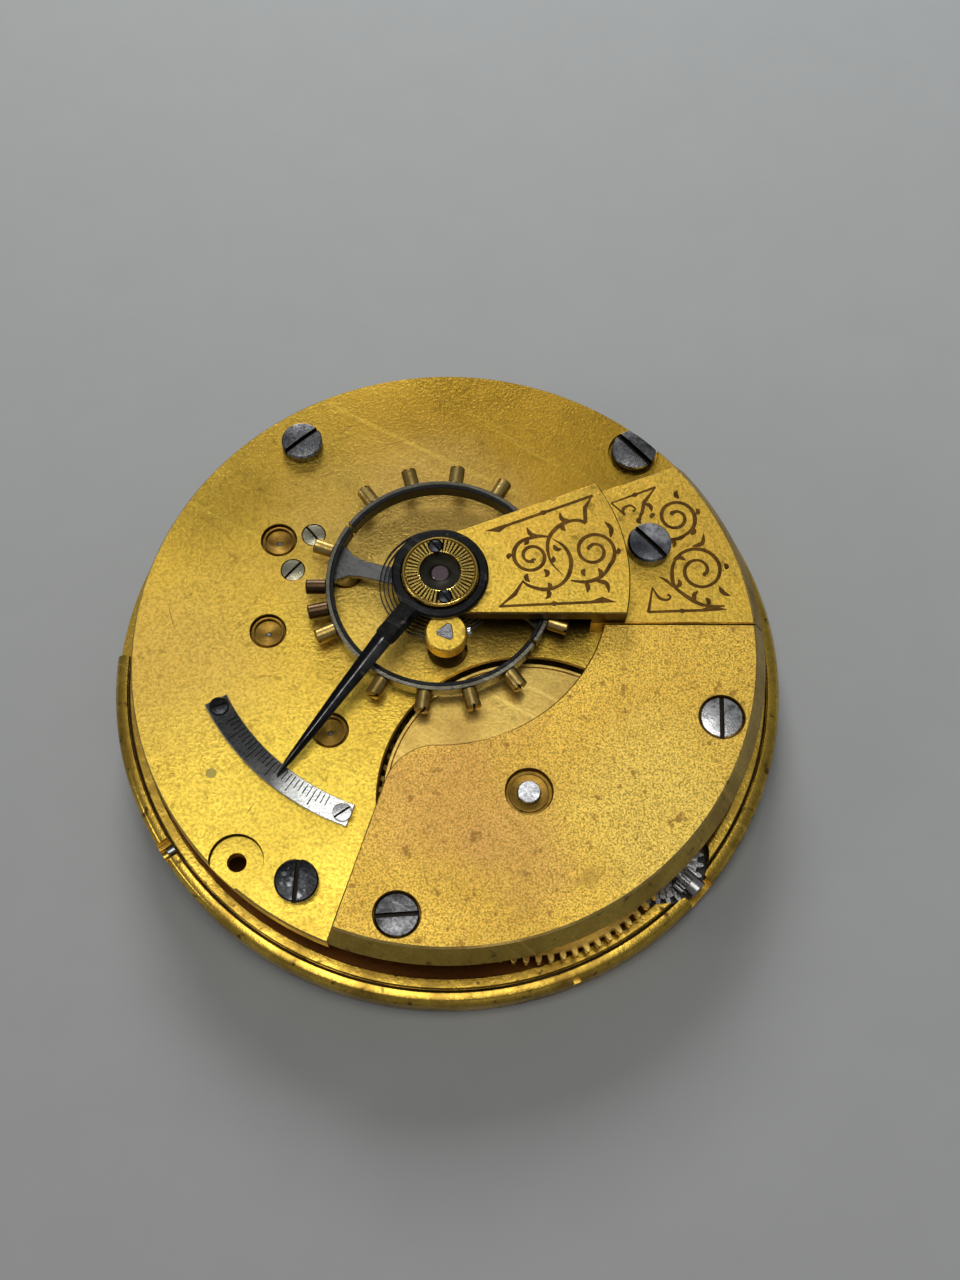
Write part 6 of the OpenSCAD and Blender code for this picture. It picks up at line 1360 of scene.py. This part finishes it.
# Stud screw. A tiny slotted steel screw that goes into the cock's boss from the side and clamps
# the stud.
side_screw = turned("shank", [(0, 0.75), (0.19, 0.75), (0.19, 1.35), (0.29, 1.35), (0.32, 1.39),
    (0.32, 1.60), (0.27, 1.66), (0, 1.67)], bright_steel, steps=32)
side_screw = cut(side_screw, [block(((-1, 1), (-0.06, 0.06), (1.54, 2)), 20, cut_near_black)])
put(laid(side_screw, (*stud_p, arm_top - 0.6), stud_turn + 95), "frame", "stud_screw")

# Cock screw. A large steel screw through the cock's foot into the top plate, tempered blue and
# since worn grey. Its head stands on top of the foot.
# The head is coloured near-black at its left and light grey at its right.
head_dark_and_light = (((12.3, 6.1, 8.4), 1.3, (0.030, 0.032, 0.038), 0.95),
    ((13.9, 7.5, 8.4), 1.0, (0.66, 0.67, 0.68), 0.7))
blue_grey = finish("blue_grey_steel", (0.42, 0.43, 0.45), (0.07, 0.075, 0.09), 0.28, patch=1.0, speck=0.5,
    scratch=0.8, patch_scale=520, dark=(0.05, 0.05, 0.06), sparkle=0.5, stains_and_painted_light=head_dark_and_light)
low, high = levels("cock_screw")
put(screw(cock_screw_p, foot_top, 1.43, high - foot_top, -47, 0.34, 0.45, blue_grey, dome=0.08,
    chamfer=0.12, shank=0.55, shank_z=low), "frame", "cock_screw")

# Cock jewels. A ruby with a fine hole takes the staff's upper pivot, and a flat endstone over it
# takes the thrust. Both are set in the middle of the cock's arm.
low, high = levels("upper_balance_jewels")
dull_stone = jewel("dull_endstone", (0.10, 0.065, 0.075), (0.04, 0.03, 0.035))
hole_jewel = turned("hole_jewel", [(0.11, low), (0.75, low), (0.75, low + 0.4), (0.4, low + 0.4),
    (0.11, low + 0.15)], ruby, balance_p, 48)
endstone = turned("endstone", [(0, high - 0.2), (0.55, high - 0.2), (0.55, high - 0.04), (0.5, high),
    (0, high)], dull_stone, balance_p, 48)
put(joined("cock_jewels", [hole_jewel, endstone]), "frame", "upper_balance_jewels")

# Endstone setting. A dark steel ring, turned to hold the endstone at its middle. It is let into
# the cap, which holds it down.
low, high = levels("endstone_setting")
dark_setting = finish("dark_setting", (0.022, 0.020, 0.014), (0.010, 0.009, 0.007), 0.50, patch=0.7,
    speck=0.2)
put(turned("setting", [(0.55, low), (1.35, low), (1.35, high - 0.02), (0.75, high), (0.62, high - 0.06),
    (0.55, high - 0.10)], dark_setting, balance_p, 64), "frame", "endstone_setting")

# Balance cap. A gilt brass ring screwed on the cock over the endstone. The regulator turns round
# it. Its face is cut with fine rays, two in three of them coloured dark brown, as is one wall of a
# groove near its edge, and its edge is a bright bevel.
cap_gilt = finish("cap_gilt", (0.92, 0.66, 0.16), (0.66, 0.42, 0.08), 0.24, patch=0.4, speck=0.2,
    scratch=0.3)
ray_brown = finish("ray_brown", (0.14, 0.075, 0.015), (0.06, 0.035, 0.01), 0.40, patch=0.8, speck=0.3)
low, high = levels("balance_cap")
ray_turns = []
for k in range(50):
    ray_turns += [(k + share + 0.10 * math.sin(5 * k)) * 7.2 for share in (0.0, 0.50, 0.75)]
profile = ((1.35, low), (1.35, high - 0.06), (1.44, high - 0.02), (2.20, high - 0.02), (2.24, high - 0.08),
    (2.30, high - 0.02), (2.34, high), (2.40, high - 0.04), (2.45, high - 0.14), (2.45, low))
points, faces, dark_faces = [], [], []
for k, turn in enumerate(ray_turns):
    for step, (radius, height) in enumerate(profile):
        dip = 0.06 if step in (2, 3) and k % 3 == 2 else 0
        points.append((*polar(radius, turn, balance_p), height - dip))
for k in range(len(ray_turns)):
    for step in range(len(profile)):
        n, up_step = (k + 1) % len(ray_turns), (step + 1) % len(profile)
        faces.append((k * len(profile) + step, n * len(profile) + step, n * len(profile) + up_step,
            k * len(profile) + up_step))
        dark_faces.append(int(step == 4 or step == 2 and k % 3 > 0))
cap = marked(solid("balance_cap", points, faces, cap_gilt, ray_brown), dark_faces)
cap_screw_p = [polar(1.8, a, balance_p) for a in (100, 280)]
holes = [stepped(p, 8, [(0.25, high - 0.35), (0.49, 11)], cut_near_black, 40) for p in cap_screw_p]
put(cut(cap, holes, 8), "frame", "balance_cap")

# Cap screws. Two tiny steel screws, tempered blue and sunk level in the cap. They hold it on the
# cock.
low, high_screw = levels("cap_screws")
tiny_blue = finish("tiny_blued", (0.055, 0.06, 0.075), (0.015, 0.015, 0.02), 0.24, patch=0.8, speck=0.3,
    scratch=0.5, patch_scale=1500)
cap_screws = [screw(p, high - 0.35, 0.45, high_screw - high + 0.35, a, 0.14, 0.16, tiny_blue, dome=0.04,
    chamfer=0.06, shank=0.22, shank_z=low) for p, a in zip(cap_screw_p, (130, 310))]
put(joined("cap_screws", cap_screws), "frame", "cap_screws")

# Regulator. A black steel ring clipped round the cap, with a long pointer that bends down past
# the balance to the index plate. Two curb pins under it hold the hairspring's outer curve.
black = finish("regulator_black", (0.022, 0.022, 0.023), (0.008, 0.008, 0.009), 0.36, patch=0.8, speck=0.6,
    bump=0.5, scratch=0.4, patch_scale=500, dark=(0.10, 0.08, 0.05))
worn_black = finish("worn_ridge", (0.26, 0.26, 0.26), (0.03, 0.03, 0.03), 0.26, patch=1.0, speck=0.5,
    scratch=0.8, patch_scale=700)
rough_black = finish("rough_root", (0.03, 0.029, 0.028), (0.008, 0.008, 0.008), 0.52, patch=1.0, speck=0.8,
    bump=0.9, scratch=0.5, grain=3000, patch_scale=1200, dark=(0.10, 0.09, 0.07))
low, high = levels("regulator")
z_ring = 9.07
ring = turned("ring", [(2.48, z_ring), (3.06, z_ring), (3.12, z_ring + 0.06), (3.12, z_ring + 0.30),
    (3.0, z_ring + 0.40), (2.6, z_ring + 0.42), (2.48, z_ring + 0.34)], black, balance_p, 160)
pointer = 231.4
rows, points = [], []
for along, width, height, thick in ((2.95, 1.44, z_ring, 0.44), (5.55, 1.38, z_ring, 0.44),
        (5.72, 1.18, z_ring, 0.36), (6.0, 1.16, z_ring - 0.02, 0.36), (9.8, 0.90, 8.18, 0.38),
        (12.2, 0.72, 7.55, 0.38), (15.2, 0.42, 6.86, 0.36), (16.38, 0.05, 6.62, 0.24)):
    rows.append(len(points))
    ridge = width * (0.30 if along < 5.6 else 0.06)
    for y, rise in ((-width / 2, 0), (width / 2, 0), (width / 2, thick * 0.5), (ridge, thick),
            (-ridge, thick), (-width / 2, thick * 0.5)):
        points.append((*placed([(along, y)], balance_p, pointer)[0], height + rise))
faces = [tuple(range(5, -1, -1)), tuple(rows[-1] + c for c in range(6))]
marks = [0, 0]
for number, (low_row, high_row) in enumerate(zip(rows, rows[1:])):
    faces += between(low_row, high_row, 6)
    marks += [2 if number < 2 else 1 if c == 3 else 0 for c in range(6)]
hand = marked(solid("hand", points, faces, black, worn_black, rough_black), marks)
curb = [turned("curb", [(0, 7.475), (0.05, 7.475), (0.08, 7.51), (0.08, z_ring + 0.1), (0, z_ring + 0.1)],
    bright_steel, polar(3.95 + away, pointer, balance_p), 20) for away in (-0.22, 0.22)]
put(joined("regulator", [ring, hand, *curb]), "regulator_arm", "regulator")
